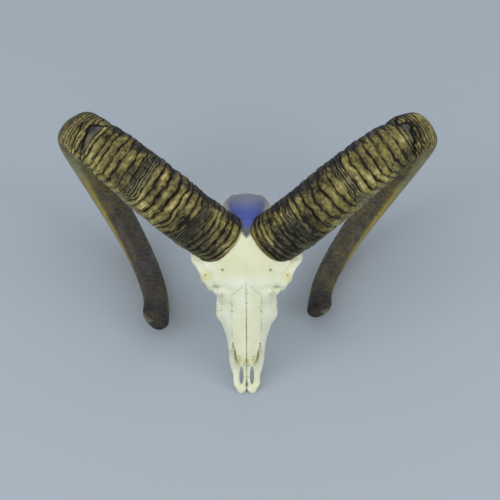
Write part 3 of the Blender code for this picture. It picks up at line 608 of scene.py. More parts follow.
def softened(values, passes):
    """The field, averaged with its neighbours along each axis."""
    for _ in range(passes):
        for axis in range(3):
            values = (np.roll(values, 1, axis) + 2 * values + np.roll(values, -1, axis)) / 4
    return values


def both_sides(bodies):
    """The bodies of one side of the skull and their mirror images."""
    return bodies + [mirrored(body) for body in bodies]


def tops(values):
    """The height of the highest bone over each place of the field, to the nearest cell."""
    solid = values < 0
    index = values.shape[2] - 1 - np.argmax(solid[:, :, ::-1], axis=2)
    return np.where(solid.any(2), (index + field_low[2]) * GRAIN, FIELD_LOW[2])


def height_under(points):
    """The height of the brow under points of the skull's frame."""
    place = points[..., :2] / GRAIN - field_low[:2]
    place = np.clip(place, 0, np.array(brow_height.shape) - 1.001)
    i, j = np.moveaxis(place.astype(int), -1, 0)
    a, b = np.moveaxis(place - place.astype(int), -1, 0)
    return ((brow_height[i, j] * (1 - a) + brow_height[i + 1, j] * a) * (1 - b)
            + (brow_height[i, j + 1] * (1 - a) + brow_height[i + 1, j + 1] * a) * b)


def signed_degrees(angles):
    """Angles round a horn in degrees from -180 to 180: 0 on its front, above 0 towards its lower side."""
    return np.degrees((angles + math.pi) % (2 * math.pi) - math.pi)


def sheath_shares(name, share, angles):
    """Shares of the length for each point of each ring; the first rings follow the sheath's edge."""
    margin = np.interp(signed_degrees(angles), *zip(*MARGINS[name])) / 1000 / HORNS[name]["length"]
    share = np.asarray(share)[:, None] + 0 * angles
    return np.where(share < MARGIN_SHARE, -margin + (MARGIN_SHARE + margin) * share / MARGIN_SHARE, share)


def sheath(name, share, angles, grow=0.0):
    """The smooth surface of a sheath. The front of its base lies on the brow, where it would sink in."""
    points = horn_surface(HORNS[name], horn_lines[name], share, angles, grow)
    off_front = np.abs(signed_degrees(angles) + 10)
    weight = np.clip((LYING_ARC - off_front) / 30, 0, 1) * np.clip((LYING_SHARE - share) / 0.05, 0, 1)
    sunk = (height_under(points) + LIP + grow - points[..., 2]) / LIE_SOFTNESS
    points[..., 2] += weight * LIE_SOFTNESS * np.logaddexp(0, sunk)
    return points


bones = field_of(skull_core())
for hollow in (nose_cavity(), nose_front()):
    bones = np.maximum(bones, -field_of([hollow]))
added = [nasal_bone(), orbit_rim()] + cheek_and_arch() + muzzle_end() + skull_base()
bones = np.minimum(bones, field_of([brow_shield()] + both_sides(added)))
brow_height = tops(bones)
bones = softened(np.minimum(bones, field_of(pedicles)), SOFTENING)
seat_shares = np.linspace(0, 0.25, 90)
seats = [horn_body(horn, sheath(name, sheath_shares(name, seat_shares, ring_angles), ring_angles, SUTURE_GAP))
         for name, horn in HORNS.items()]
spinal_hole = ball((0, 0.2430, 0.0470), (0.0095, 0.0180, 0.0085))
nose_back = ball((0, 0.1530, 0.0180), (0.0085, 0.0140, 0.0100))
bones = np.maximum(bones, -field_of([palatine_fissure(1), palatine_fissure(-1), spinal_hole, nose_back]))
bones = np.maximum(bones, -field_of(seats))


# ============================================================================================================
# The bones, parted along their sutures
# Ten bones show as pieces of their own: two nasals, two premaxillae at the muzzle's end, two zygomatics under
# the eyes, the frontal with the pedicles, two maxillae with the tooth sockets, and the braincase. They meet
# along sutures, fine wavy seams. Bone is dry, pale and faintly porous.
# ============================================================================================================
BONE_CREAM = "#DEE1C0"
BONE_PALE = "#E7EAD3"
BONE_WARM = "#D4CF96"
# Dirt in the seams and flecks, and painted shade in the small pits.
DIRT_AND_PIT_SHADE = "#6E6848"
# Painted shade behind the horns: its grey and its blue.
PAINTED_SHADE_BLUE = "#3A4C9C"
PAINTED_SHADE_GREY = "#4A5252"
SUTURE_WAVE = 0.00030                  # how far a seam swings to each side
PORE_MM = 0.7
FIBRE_MM = 1.6
BLOTCH_MM = 16.0
FRONTAL_SEAM = (0.134, 0.190)          # the middle seam of the brow, from back of nose to between the horns
SEAM_DEPTH = 0.00040
SWELLS = ((0.014, 0.00030), (0.0055, 0.00012), (0.0020, 0.00005))     # width and height of uneven bumps

# Small forms on the bone. Top: (out, back), side: (back, height), then radius and height, negative for a pit.
TOP_MARKS = ((0.0280, 0.1510, 0.0013, -0.0024), (0.0255, 0.1400, 0.0022, -0.00035),
             (0.0235, 0.1320, 0.0022, -0.00030), (0.0360, 0.1310, 0.0036, -0.0014),
             (0.0172, 0.1020, 0.0010, -0.0008), (0.0086, 0.0470, 0.0009, -0.0008),
             (0.0080, 0.0430, 0.0008, -0.0007), (0.0480, 0.1430, 0.0060, -0.0008),
             (0.0474, 0.1452, 0.0010, -0.0014), (0.0166, 0.0630, 0.0010, -0.0009),
             (0.0162, 0.0600, 0.0011, -0.0010), (0.0156, 0.0570, 0.0010, -0.0009))
BROW_LOBES = ((0.0605, 0.1625, 0.0062, 0.0023),)  # the swelling over each eye, given as on top
SIDE_MARKS = ((0.0830, 0.0300, 0.0020, -0.0036), (0.0880, 0.0290, 0.0032, -0.0010),
              (0.1120, 0.0370, 0.0060, 0.0011), (0.1280, 0.0640, 0.0052, -0.0018),
              (0.1330, 0.0575, 0.0012, -0.0014), (0.1980, 0.0700, 0.0120, -0.0012),
              (0.2180, 0.0600, 0.0040, 0.0010))


def outline_distance(outline):
    """Distance in the side view from a closed (distance back, height) outline, negative inside."""
    nearest = np.inf
    inside = False
    for (y, z), (next_y, next_z) in zip(outline, outline[1:] + outline[:1]):
        long, high = next_y - y, next_z - z
        back, up = field_y - y, field_z - z
        share = np.clip((back * long + up * high) / (long**2 + high**2), 0, 1)
        nearest = np.minimum(nearest, np.hypot(back - share * long, up - share * high))
        if high:
            level = (field_z < z) != (field_z < next_z)
            inside = inside ^ (level & (back < up * long / high))
    return np.where(inside, -nearest, nearest).astype(np.float32)


def nasal_cell(side):
    """The nasal: the plate over the nose on one side, down to just under its lower face."""
    out = np.abs(field_x)
    roof = smooth_line(ROOF)(field_y[0, :, 0])[:, 0].astype(np.float32)[None, :, None]
    under = roof - NASAL_ARCH * (out / NASAL_SUTURE_X) ** 2 - NASAL_THICKNESS - 0.0016
    plan = np.maximum(np.maximum(-side * field_x, out - NASAL_SUTURE_X), field_y - (NASION_Y - 0.85 * out))
    return np.maximum(plan, under - field_z)


def premaxilla_cell(side):
    """The premaxilla: one side of the muzzle's end, in front of a slanting seam."""
    behind = np.interp(field_z, (-0.03, 0.0, 0.056), (0.012, 0.026, 0.068)).astype(np.float32)
    return np.maximum(-side * field_x, (field_y - behind) * 0.8)


def zygomatic_cell(side):
    """The zygomatic: the cheek and arch under and behind one eye."""
    outline = ((0.1000, 0.0330), (0.1040, 0.0560), (0.1160, 0.0740), (0.1300, 0.0800), (0.1390, 0.0640),
               (0.1860, 0.0640), (0.1860, 0.0300), (0.1500, 0.0335))
    return np.maximum(outline_distance(outline), 0.0290 - side * field_x)


def frontal_cell(side):
    """The frontal, one bone for both sides: the brow with the pedicles of the horns."""
    outline = ((0.1120, 0.0680), (0.1420, 0.0600), (0.1720, 0.0560), (0.1980, 0.0740), (0.2150, 0.1120),
               (0.2150, 0.1500), (0.1120, 0.1500))
    return outline_distance(outline)


def maxilla_cell(side):
    """The maxilla: what is left of the upper jaw on one side."""
    return np.maximum(-side * field_x, field_y - 0.1520)


def scatter(points, size, seed):
    """Soft random bumps from -1 to 1 at points, about size apart, mixed by whole-number products."""
    cell = points / size
    low = np.floor(cell).astype(np.int64)
    part = cell - low
    part = part * part * (3 - 2 * part)
    total = np.zeros(len(points))
    for corner in range(8):
        step = np.array([corner >> axis & 1 for axis in range(3)])
        key = (low + step) * (73856093, 19349663, 83492791)
        mixed = (key[:, 0] ^ key[:, 1] ^ key[:, 2] ^ (seed + 7) * 40503) & 0xFFFFFFFF
        mixed = ((mixed ^ mixed >> 13) * 1274126177) & 0xFFFFFFFF
        value = ((mixed ^ mixed >> 16) & 0xFFFF) / 32767.5 - 1
        total += value * np.prod(np.where(step, part, 1 - part), axis=1)
    return total


def ramp(values, low, high):
    """0 below low, 1 above high and a soft rise between; low may be above high."""
    t = np.clip((values - low) / (high - low), 0, 1)
    return t * t * (3 - 2 * t)


def largest_body(points, faces):
    """The largest connected body of a mesh."""
    label = np.arange(len(points))
    while True:
        lowest = label[faces].min(1)
        new = label.copy()
        for corner in range(faces.shape[1]):
            np.minimum.at(new, faces[:, corner], lowest)
        new = new[new]
        if np.array_equal(new, label):
            break
        label = new
    kept = np.bincount(label).argmax() == label
    number = np.cumsum(kept) - 1
    return points[kept], number[faces[kept[faces[:, 0]]]]


def meshed(values):
    """The surface of a field as points and four-sided faces that look outward."""
    grid = openvdb.FloatGrid(BAND * GRAIN)
    grid.copyFromArray(values, ijk=tuple(int(i) for i in field_low))
    grid.transform = openvdb.createLinearTransform(GRAIN)
    points, quads = grid.convertToQuads(isovalue=0.0)
    points, quads = largest_body(points.astype(float), quads.astype(np.int64))
    a, b, c = (points[quads[:, k]] for k in range(3))
    volume = np.einsum("ij,ij->", a, np.cross(b, c))
    return points, quads if volume > 0 else quads[:, ::-1]


def new_mesh(name, points, faces):
    """A mesh of points and of arrays of faces, each array with its own number of corners."""
    mesh = bpy.data.meshes.new(name)
    mesh.vertices.add(len(points))
    mesh.vertices.foreach_set("co", points.astype(np.float32).ravel())
    sizes = np.concatenate([np.full(len(f), f.shape[1]) for f in faces])
    mesh.loops.add(int(sizes.sum()))
    mesh.loops.foreach_set("vertex_index", np.concatenate([f.ravel() for f in faces]).astype(np.int32))
    mesh.polygons.add(len(sizes))
    mesh.polygons.foreach_set("loop_start", (np.cumsum(sizes) - sizes).astype(np.int32))
    mesh.update(calc_edges=True)
    return mesh


def normals_of(mesh):
    """The direction that each point of the mesh faces."""
    normals = np.empty(len(mesh.vertices) * 3, np.float32)
    mesh.vertex_normals.foreach_get("vector", normals)
    return normals.reshape(-1, 3).astype(float)


def lay_down(mesh, points):
    """Points of the skull's frame go to their place over the floor, where what touches it is worn flat."""
    turn = np.array(at_rest)
    placed = points @ turn[:3, :3].T + turn[:3, 3]
    placed[:, 2] = np.maximum(placed[:, 2], 0.0)
    mesh.vertices.foreach_set("co", placed.astype(np.float32).ravel())
    mesh.update()


def mark(mesh, name, values):
    """A value for each point, which the material reads."""
    mesh.attributes.new(name, "FLOAT", "POINT").data.foreach_set("value", values.astype(np.float32))


def show(mesh, material, slot, *nodes):
    """The mesh becomes a piece of the object, in place of the CAD nodes."""
    mesh.materials.append(material)
    mesh.polygons.foreach_set("use_smooth", np.ones(len(mesh.polygons), bool))
    piece = bpy.data.objects.new(mesh.name, mesh)
    bpy.context.scene.collection.objects.link(piece)
    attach(piece, "root")
    if nodes:
        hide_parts(*nodes)


# Dry bone: hydroxyapatite with a little collagen left. It is matt, lets light a little way in, and is pitted
# with fine pores; dirt stays in the seams, the small holes are painted dark as painted shade, and a blue-grey
# painted shade lies behind the horns.
bone, tree, shader = new_material("dry bone")
where = add_node(tree, "ShaderNodeTexCoord").outputs["Object"]
warm, cavity, painted_shade, blue = (add_node(tree, "ShaderNodeAttribute", attribute_name=name).outputs["Fac"]
                             for name in ("warm", "cavity", "painted_shade", "blue"))
blotch = add_node(tree, "ShaderNodeTexNoise", {"Vector": where, "Scale": 1000 / BLOTCH_MM, "Detail": 4.0})
clouds = add_node(tree, "ShaderNodeMapRange",
                  {"Value": blotch.outputs["Fac"], "From Min": 0.35, "From Max": 0.65})
# The colours of a Mix node are its inputs 6 and 7 and its output 2.
# The painted shade behind the horns, from grey to blue.
painted_shade_tone = add_node(tree, "ShaderNodeMix", {0: blue, 6: PAINTED_SHADE_GREY, 7: PAINTED_SHADE_BLUE}, data_type="RGBA")
surface = BONE_CREAM
for share, over in ((clouds.outputs["Result"], BONE_PALE), (warm, BONE_WARM), (painted_shade, painted_shade_tone.outputs[2]),
                    (cavity, DIRT_AND_PIT_SHADE)):
    surface = add_node(tree, "ShaderNodeMix", {0: share, 6: surface, 7: over}, data_type="RGBA").outputs[2]
pores = add_node(tree, "ShaderNodeTexVoronoi", {"Vector": where, "Scale": 1000 / PORE_MM, "Randomness": 1.0})
pore_depth = add_node(tree, "ShaderNodeMapRange",
                      {"Value": pores.outputs["Distance"], "From Min": 0.0, "From Max": 0.35})
fibre = add_node(tree, "ShaderNodeTexNoise", {"Vector": where, "Scale": 1000 / FIBRE_MM, "Detail": 5.0})
height = add_node(tree, "ShaderNodeMath", {0: fibre.outputs["Fac"], 1: 1.4, 2: pore_depth.outputs["Result"]},
                  operation="MULTIPLY_ADD")
press = add_node(tree, "ShaderNodeBump", {"Height": height.outputs[0], "Strength": 0.35, "Distance": 0.00012})
rough = add_node(tree, "ShaderNodeMapRange", {"Value": fibre.outputs["Fac"], "From Min": 0.3, "From Max": 0.7,
                                              "To Min": 0.44, "To Max": 0.62})
set_inputs(tree, shader, {
    "Base Color": surface, "Normal": press.outputs["Normal"], "Roughness": rough.outputs["Result"],
    "IOR": 1.54, "Specular IOR Level": 0.35, "Subsurface Weight": 0.12, "Subsurface Scale": 0.003,
    "Subsurface Radius": (1.0, 0.75, 0.45),
})


def bone_relief(points, normals, seam):
    """How far the fine forms of the bone stand out at each point, and how dark it is there: dirt, with
    painted shade in the small pits.
    """
    out, back, up = np.abs(points[:, 0]), points[:, 1], points[:, 2]
    on_top, on_side = normals[:, 2] > 0.2, (np.abs(normals[:, 0]) > 0.35) & (out > 0.018)

    # Uneven bone with its holes, hollows and swellings. The small deep pits are painted dark as shade.
    rise = sum(height * scatter(points, width, seed) for seed, (width, height) in enumerate(SWELLS, 1))
    pit_shade = np.zeros(len(points))
    for marks, first, second, facing in ((TOP_MARKS, out, back, on_top), (SIDE_MARKS, back, up, on_side),
                                         (BROW_LOBES, out, back, up > 0.062)):
        for a, b, radius, height in marks:
            bump = hill(np.hypot(first - a, second - b), radius) * facing
            rise += height * bump
            if radius < 0.0025 and height < -0.0006:
                pit_shade = np.maximum(pit_shade, bump)

    # The middle seam of the brow, and the rough bone round the foot of each horn.
    middle_seam = hill(points[:, 0] + 0.0004 * scatter(points, 0.004, 4), 0.0004)
    middle_seam *= (normals[:, 2] > 0.3) * ramp(back, FRONTAL_SEAM[0] - 0.002, FRONTAL_SEAM[0])
    middle_seam *= ramp(back, FRONTAL_SEAM[1], 0.150)
    rise -= SEAM_DEPTH * middle_seam
    seat_rough = (hill(out - 0.036, 0.034) * hill(back - 0.186, 0.034) * hill(up - 0.082, 0.034)) ** 2
    rise += 0.00022 * seat_rough * scatter(points, 0.0024, 5)

    # Sutures: grown over with a fine raised line, but still open along the nose, where they hold dirt.
    edge = hill(seam, 0.0006)
    between_nasals = ramp(out, 0.0022, 0.0010) * ramp(back, 0.138, 0.134)
    still_open = np.maximum(ramp(back, 0.124, 0.112), between_nasals) * on_top
    rise += edge * (0.00016 - 0.00022 * still_open)
    between = hill(out, 0.0012) * ramp(back, 0.136, 0.120)
    beside = hill(out - NASAL_SUTURE_X, 0.0014) * ramp(scatter(points, 0.009, 6), -0.3, 0.7)
    near_seams = hill(out - NASAL_SUTURE_X, 0.005) + 0.35 * ramp(back, 0.075, 0.050)
    flecks = ramp(scatter(points, 0.0017, 7), 0.66, 0.86) * near_seams * ramp(back, 0.135, 0.120)
    in_seams = 0.02 * edge + edge * still_open * (0.42 * between + 0.45 * beside)
    # Dirt in the seams and flecks, and painted shade in the small pits.
    dirt = np.maximum(np.maximum(pit_shade, 0.16 * middle_seam), np.maximum(0.45 * flecks * on_top, in_seams))
    return rise, dirt


def bone_tints_and_painted_shade(points, normals):
    """Where the bone is warm in colour, where shade is painted on it, and how blue that painted shade is."""
    out, back, up = np.abs(points[:, 0]), points[:, 1], points[:, 2]

    # Warm: the corner of the eye, the walls and roof of the nose, the muzzle's tips and the forehead.
    eye = hill(out - 0.0480, 0.0070) * hill(back - 0.1430, 0.0070) * (up > 0.045)
    nose_wall = ramp(back, 0.078, 0.055) * ramp(back, 0.034, 0.044) * ramp(out, 0.016, 0.012)
    nose_wall *= ramp(up, 0.050, 0.038) * ramp(up, 0.010, 0.016)
    nose_roof = 0.16 * ramp(back, 0.140, 0.110) * ramp(out, 0.018, 0.012) * (normals[:, 2] > 0.2)
    tips = 0.08 * ramp(back, 0.014, 0.004)
    forehead = 0.34 * ramp(back, 0.132, 0.150) * ramp(out, 0.044, 0.026) * ramp(up, 0.066, 0.078)
    uneven = 0.10 * scatter(points, 0.020, 10)
    warm = np.clip(0.9 * eye + nose_wall + nose_roof + tips + forehead + uneven, 0, 1)

    # Painted shade: a wedge between the horns that widens over the dome of the braincase, bluest in its
    # middle.
    ragged = 0.0022 * scatter(points, 0.008, 8) + 0.0008 * scatter(points, 0.0025, 9)
    wedge = ramp(back + ragged - 0.9 * out, 0.1855, 0.1930)
    across_dome = ramp(out + ragged - 0.006 * ramp(back, 0.214, 0.228), 0.0252, 0.0130)
    behind_horns = wedge * across_dome * ramp(up, 0.050, 0.066)
    painted_shade = behind_horns * ramp(back, 0.250, 0.238) * (0.80 + 0.17 * ramp(back, 0.236, 0.216))
    blue = ramp(back + 0.5 * ragged, 0.1955, 0.2070) * (0.60 + 0.40 * ramp(back, 0.236, 0.220))
    return warm, painted_shade, blue


# A suture wanders by three crossed waves, more so behind the nose.
interlock = SUTURE_WAVE * (np.sin(field_x / 0.00049 + field_y / 0.00068)
                           + np.sin(field_y / 0.00037 - field_z / 0.00062)
                           + np.sin(field_z / 0.00046 + field_x / 0.00091)).astype(np.float32)
interlock = interlock * (1 + 2.5 * ramp(field_y, 0.104, 0.118)).astype(np.float32)

# Each bone in turn is parted from what is left of the whole, and the braincase is the rest.
BOTH = (("_left", 1), ("_right", -1))
ONE = (("", 0),)
seam_field = np.full(bones.shape, 1.0, np.float32)
bone_fields = {}
for bone_name, cell_of, labels in (("nasal", nasal_cell, BOTH), ("premaxilla", premaxilla_cell, BOTH),
                                   ("zygomatic", zygomatic_cell, BOTH), ("frontal", frontal_cell, ONE),
                                   ("maxilla", maxilla_cell, BOTH)):
    for label, side in labels:
        cell = cell_of(side) + interlock
        near = bones < GRAIN
        seam_field[near] = np.minimum(seam_field[near], np.abs(cell[near]))
        bone_fields[bone_name + label] = np.maximum(bones, cell + SUTURE_GAP / 2)
        bones = np.maximum(bones, SUTURE_GAP / 2 - cell)
bone_fields["braincase"] = bones

for name, values in bone_fields.items():
    points, quads = meshed(values)
    mesh = new_mesh(name + "_bone", points, [quads])
    normals = normals_of(mesh)
    index = np.clip(np.rint(points / GRAIN).astype(int) - field_low, 0, field_shape - 1)
    rise, dirt = bone_relief(points, normals, seam_field[tuple(index.T)])
    mark(mesh, "cavity", dirt)
    for key, shares in zip(("warm", "painted_shade", "blue"), bone_tints_and_painted_shade(points, normals)):
        mark(mesh, key, shares)
    lay_down(mesh, points + normals * rise[:, None])
    show(mesh, bone, "bone", name)


# ============================================================================================================
# Cheek teeth
# Six teeth stand in each upper row: three premolars and three molars, high blocks of enamel and dentine with
# ribbed outer walls and crescent ridges on the worn face. They sit in sockets of the maxilla.
# ============================================================================================================
TOOTH_ROW = (0.073, 0.147)
TOOTH_LINE = ((0.070, 0.0188, 0.0046), (0.085, 0.0220, 0.0056), (0.098, 0.0265, 0.0066),
              (0.125, 0.0295, 0.0072), (0.150, 0.0285, 0.0068))     # distance back, place out, half width
TOOTH_DEPTH = 0.009
TOOTH_SHARES = (0.75, 0.85, 0.9, 1.1, 1.25, 1.3)  # lengths of the teeth against each other
PREMOLARS = 3                          # these have one lobe, the molars two
TOOTH_SIDES = 56
TOOTH_CROWN = ((0.0120, 0.76), (0.0080, 0.86), (0.0040, 0.95), (0.0, 1.0), (-0.0035, 1.0), (-0.0065, 0.97),
               (-0.0080, 0.93), (-0.0088, 0.88))          # rings of the crown: height, width
TOOTH_FACE = (0.74, 0.60, 0.46, 0.32, 0.16)       # rings of the worn face: width
TOOTH_SQUARENESS = 4.0
RIB = 0.10                             # height of the ribs on the walls, against the tooth's half width
CRESCENT_HEIGHT = 0.0007
TOOTH_GAP = 0.0005
TOOTH_FILM_MM = 2.5
ENAMEL = "#DAD6BE"
DENTINE = "#8C7A50"
TARTAR = "#4A3D26"

# Enamel: hard and glassy over tan dentine, with dark tartar in the folds.
enamel, tree, shader = new_material("tooth enamel")
where = add_node(tree, "ShaderNodeTexCoord").outputs["Object"]
fold, worn = (add_node(tree, "ShaderNodeAttribute", attribute_name=name).outputs["Fac"]
              for name in ("fold", "worn"))
film = add_node(tree, "ShaderNodeTexNoise", {"Vector": where, "Scale": 1000 / TOOTH_FILM_MM, "Detail": 5.0})
bare = add_node(tree, "ShaderNodeMapRange", {"Value": film.outputs["Fac"], "From Min": 0.4, "From Max": 0.75})
surface = ENAMEL
for share, over in ((bare.outputs["Result"], DENTINE), (worn, DENTINE), (fold, TARTAR)):
    surface = add_node(tree, "ShaderNodeMix", {0: share, 6: surface, 7: over}, data_type="RGBA").outputs[2]
press = add_node(tree, "ShaderNodeBump", {"Height": film.outputs["Fac"], "Strength": 0.3, "Distance": 0.0002})
set_inputs(tree, shader, {"Base Color": surface, "Normal": press.outputs["Normal"], "Roughness": 0.32,
                          "IOR": 1.62})

tooth_line = smooth_line(TOOTH_LINE)
tooth_edges = np.interp(np.cumsum((0,) + TOOTH_SHARES), (0, sum(TOOTH_SHARES)), TOOTH_ROW)


def tooth(low, high, lobes, side):
    """One cheek tooth: rings down the crown, then in over the worn face, and marks for each point."""
    centre_x, half_width = tooth_line((low + high) / 2)
    half_length = (high - low - TOOTH_GAP) / 2
    angle = round_angles(TOOTH_SIDES)
    powers = np.abs(np.cos(angle)) ** TOOTH_SQUARENESS + np.abs(np.sin(angle)) ** TOOTH_SQUARENESS
    u, v = np.array((np.cos(angle), np.sin(angle))) * powers ** (-1 / TOOTH_SQUARENESS)
    rib = RIB * np.cos(math.pi * (lobes + 1) * u) * np.abs(v) ** 3
    rings, folds, worns = [], [], []
    for z, grow in TOOTH_CROWN:
        rings.append((u * grow, v * (grow + rib), np.full(TOOTH_SIDES, z)))
        folds.append(np.clip(-rib * 6, 0, 1) + ramp(z, 0.003, 0.006))
        worns.append(np.zeros(TOOTH_SIDES))
    for inset in TOOTH_FACE:
        a, b = u * inset, v * inset
        crescent = np.cos(math.pi * lobes * a) * np.cos(2 * math.pi * b)
        rings.append((a, b, CRESCENT_HEIGHT * (1 - crescent) - TOOTH_DEPTH))
        folds.append(ramp(crescent, -0.2, -0.9))
        worns.append(0.35 + 0.5 * ramp(crescent, 0.4, -0.3))
    grid = [np.stack([side * (centre_x + half_width * b), (low + high) / 2 + half_length * a, z], -1)
            for a, b, z in rings]
    if side < 0:
        grid = [ring[::-1] for ring in grid]
        folds, worns = [row[::-1] for row in folds], [row[::-1] for row in worns]
    points, triangles = rings_body(grid)
    return points, triangles, np.append(np.ravel(folds), (0, 0)), np.append(np.ravel(worns), (0, 0.6))


for label, side in BOTH:
    parts = [tooth(low, high, 1 if number < PREMOLARS else 2, side)
             for number, (low, high) in enumerate(zip(tooth_edges, tooth_edges[1:]))]
    starts = np.cumsum([0] + [len(part[0]) for part in parts[:-1]])
    points = np.vstack([part[0] for part in parts])
    faces = np.vstack([part[1][:, ::-1] + start for part, start in zip(parts, starts)])
    mesh = new_mesh("cheek_teeth" + label, points, [faces])
    mark(mesh, "fold", np.concatenate([part[2] for part in parts]))
    mark(mesh, "worn", np.concatenate([part[3] for part in parts]))
    lay_down(mesh, points)
    show(mesh, enamel, "bone")


# ============================================================================================================
# Horn sheaths
# Each sheath is keratin, laid down from the base in yearly lengths. It is crossed by coarse wavy ridges, with
# dense dark rings where growth paused, and deep cracks and a bare scar before the turn. Past the turn it
# grows smooth and dark, with an amber keel, and ends in a blunt broken tip.
# ============================================================================================================
HORN_SIDES = 224
SHEATH_RADIUS = 0.026                  # for laying patterns round the horn at their true size
RIDGED_LENGTH = 0.232                  # up to here the rings of the mesh are closer together
RIDGED_STEP = 0.00045
SMOOTH_STEP = 0.0009
LAST_RINGS = (0.00015, 0.00008, 0.00003)          # before the tip
FIRST_LATER_PITCH = 0.0105             # from groove to groove past the listed ones, as shares of the length
LAST_LATER_PITCH = 0.0135
EARLIER_PITCH = 0.0125                 # the same before the first one
# How grooves swing: how far, the size of each bump, and its length along the horn against its width.
GROOVE_WAVER = ((0.0011, 0.026, 1.0), (0.0020, 0.0100, 0.7), (0.0011, 0.0045, 0.8), (0.0004, 0.0022, 1.0))
GROOVE_WIDTH = 0.0006
GROOVE_DEPTH = 0.0009
RIDGE_HEIGHT = 0.0024
LINE_PITCH = 0.0017                    # fine growth lines between the ridges
KEEL_ANGLE = 113                       # where the keel runs, in degrees from the horn's front
SLANT_ANGLE = 128                      # the side on which the broken tip reaches furthest
EDGE_DRAW = 0.0006                     # how far the sheath's very edge is drawn in
HORN_FIBRE_MM = 1.1
HORN_BLOTCH_MM = 9.0

# Where the grooves cross the front of each horn, as shares of its length. They crowd where growth paused.
# After the last one they go on, further and further apart, and fade.
GROOVES = {
    "horn_right": (0.0020, 0.0150, 0.0267, 0.0400, 0.0500, 0.0600, 0.0640, 0.0677, 0.0713, 0.0750, 0.0787,
                   0.0823, 0.0900, 0.1050, 0.1130, 0.1283, 0.1450, 0.1583, 0.1700, 0.1740, 0.1780, 0.1820,
                   0.1860, 0.1900, 0.2033, 0.2200, 0.2350, 0.2517, 0.2633, 0.2800, 0.2890, 0.3083, 0.3175,
                   0.3267),
    "horn_left": (-0.0030, 0.0083, 0.0200, 0.0333, 0.0450, 0.0567, 0.0650, 0.0683, 0.0720, 0.0760, 0.0867,
                  0.1033, 0.1183, 0.1350, 0.1517, 0.1633, 0.1667, 0.1703, 0.1740, 0.1777, 0.1917, 0.2083,
                  0.2233, 0.2383, 0.2567, 0.2733, 0.2967, 0.3067, 0.3150, 0.3225),
}
# How high the ridges are at shares of the length, and where growth paused: share and half width.
RIDGE_FADE = ((0.0, 0.85), (0.08, 1.0), (0.325, 1.0), (0.345, 0.65), (0.40, 0.42), (0.50, 0.28), (1.0, 0.15))
PAUSES = {"horn_right": ((0.074, 0.010), (0.180, 0.011)), "horn_left": ((0.070, 0.008), (0.170, 0.009))}
# Grooves that have opened: share, depth and half width in mm, and the angles between which they are open.
CLEFTS = {
    "horn_right": ((0.1783, 1.0, 0.40, -70, 40), (0.0713, 0.8, 0.40, -60, 50), (0.2517, 0.9, 0.45, -60, 30)),
    "horn_left": ((0.1703, 1.3, 0.50, -75, 30), (0.0683, 0.7, 0.40, -60, 50), (0.1033, 0.8, 0.45, -50, 25)),
}
# Cracks before the turn: depth and half width in mm, then the (angle, share) places that they run through.
CRACKS = {
    "horn_right": (
        (3.8, 1.45, ((-46, 0.2880), (-39, 0.2960), (-32, 0.3075), (-25, 0.3150), (-17, 0.3170), (-6, 0.3140),
                     (3, 0.3090), (26, 0.3035), (60, 0.3030))),
        (3.2, 1.05, ((-24, 0.3325), (-11, 0.3345), (-1, 0.3320), (12, 0.3270), (30, 0.3240), (59, 0.3310),
                     (90, 0.3380)))),
    "horn_left": (
        (3.8, 1.45, ((-40, 0.3030), (-29, 0.3170), (-21, 0.3270), (-10, 0.3285), (-4, 0.3195), (18, 0.3165),
                     (29, 0.3090), (62, 0.3070))),
        (3.4, 1.25, ((-66, 0.3420), (-61, 0.3360), (-49, 0.3170), (-36, 0.3080))),
        (2.2, 0.55, ((-14, 0.3390), (0, 0.3350), (30, 0.3260), (100, 0.3230)))),
}
# A bare scar lies behind the first crack: (angle, share) how far it reaches back from it.
SCARS = {
    "horn_right": ((-44, 0.0), (-36, 0.0120), (-28, 0.0200), (-11, 0.0250), (3, 0.0230), (16, 0.0190),
                   (42, 0.0)),
    "horn_left": ((-44, 0.0), (-32, 0.0090), (-22, 0.0180), (-11, 0.0195), (-1, 0.0135), (13, 0.0120),
                  (30, 0.0)),
}
KEELS = {"horn_right": (0.58, 0.84), "horn_left": (0.64, 0.92)}     # shares between which the keel is amber
DUSK = {"horn_right": 1.0, "horn_left": 0.80}             # how dark the inner side grows past the turn
HUMPS = {"horn_right": (0.377, -52, 0.0030), "horn_left": (0.430, 14, -0.0022)}   # share, angle and height
TIP_SLANT = 0.004                      # how much further the broken tip reaches on one side
TIP_WEAR = 0.0010                      # how much thinner the sheath is worn at its tip
TURN_SHADE = {"horn_right": 0.06, "horn_left": 0.24}      # how much darker the front of the turn is, past the cracks

# Keratin from the bottom of a groove, dark with dirt and painted shade, up its slope in painted shade to a
# rubbed crest with a painted highlight, then its grey, pale, dark, slaty and amber places.
HORN_GROOVE = "#110C05"
HORN_SLOPE = "#574E2A"
HORN_RIDGE = "#948A4E"
HORN_CREST = "#CBC088"
HORN_GREY = "#7A785C"
HORN_PALE = "#A39E7A"
HORN_DARK = "#272427"
HORN_DUSK = "#625F62"
HORN_UMBER = "#6C6140"
HORN_SLATE = "#4A4B50"
HORN_AMBER = "#A8963A"

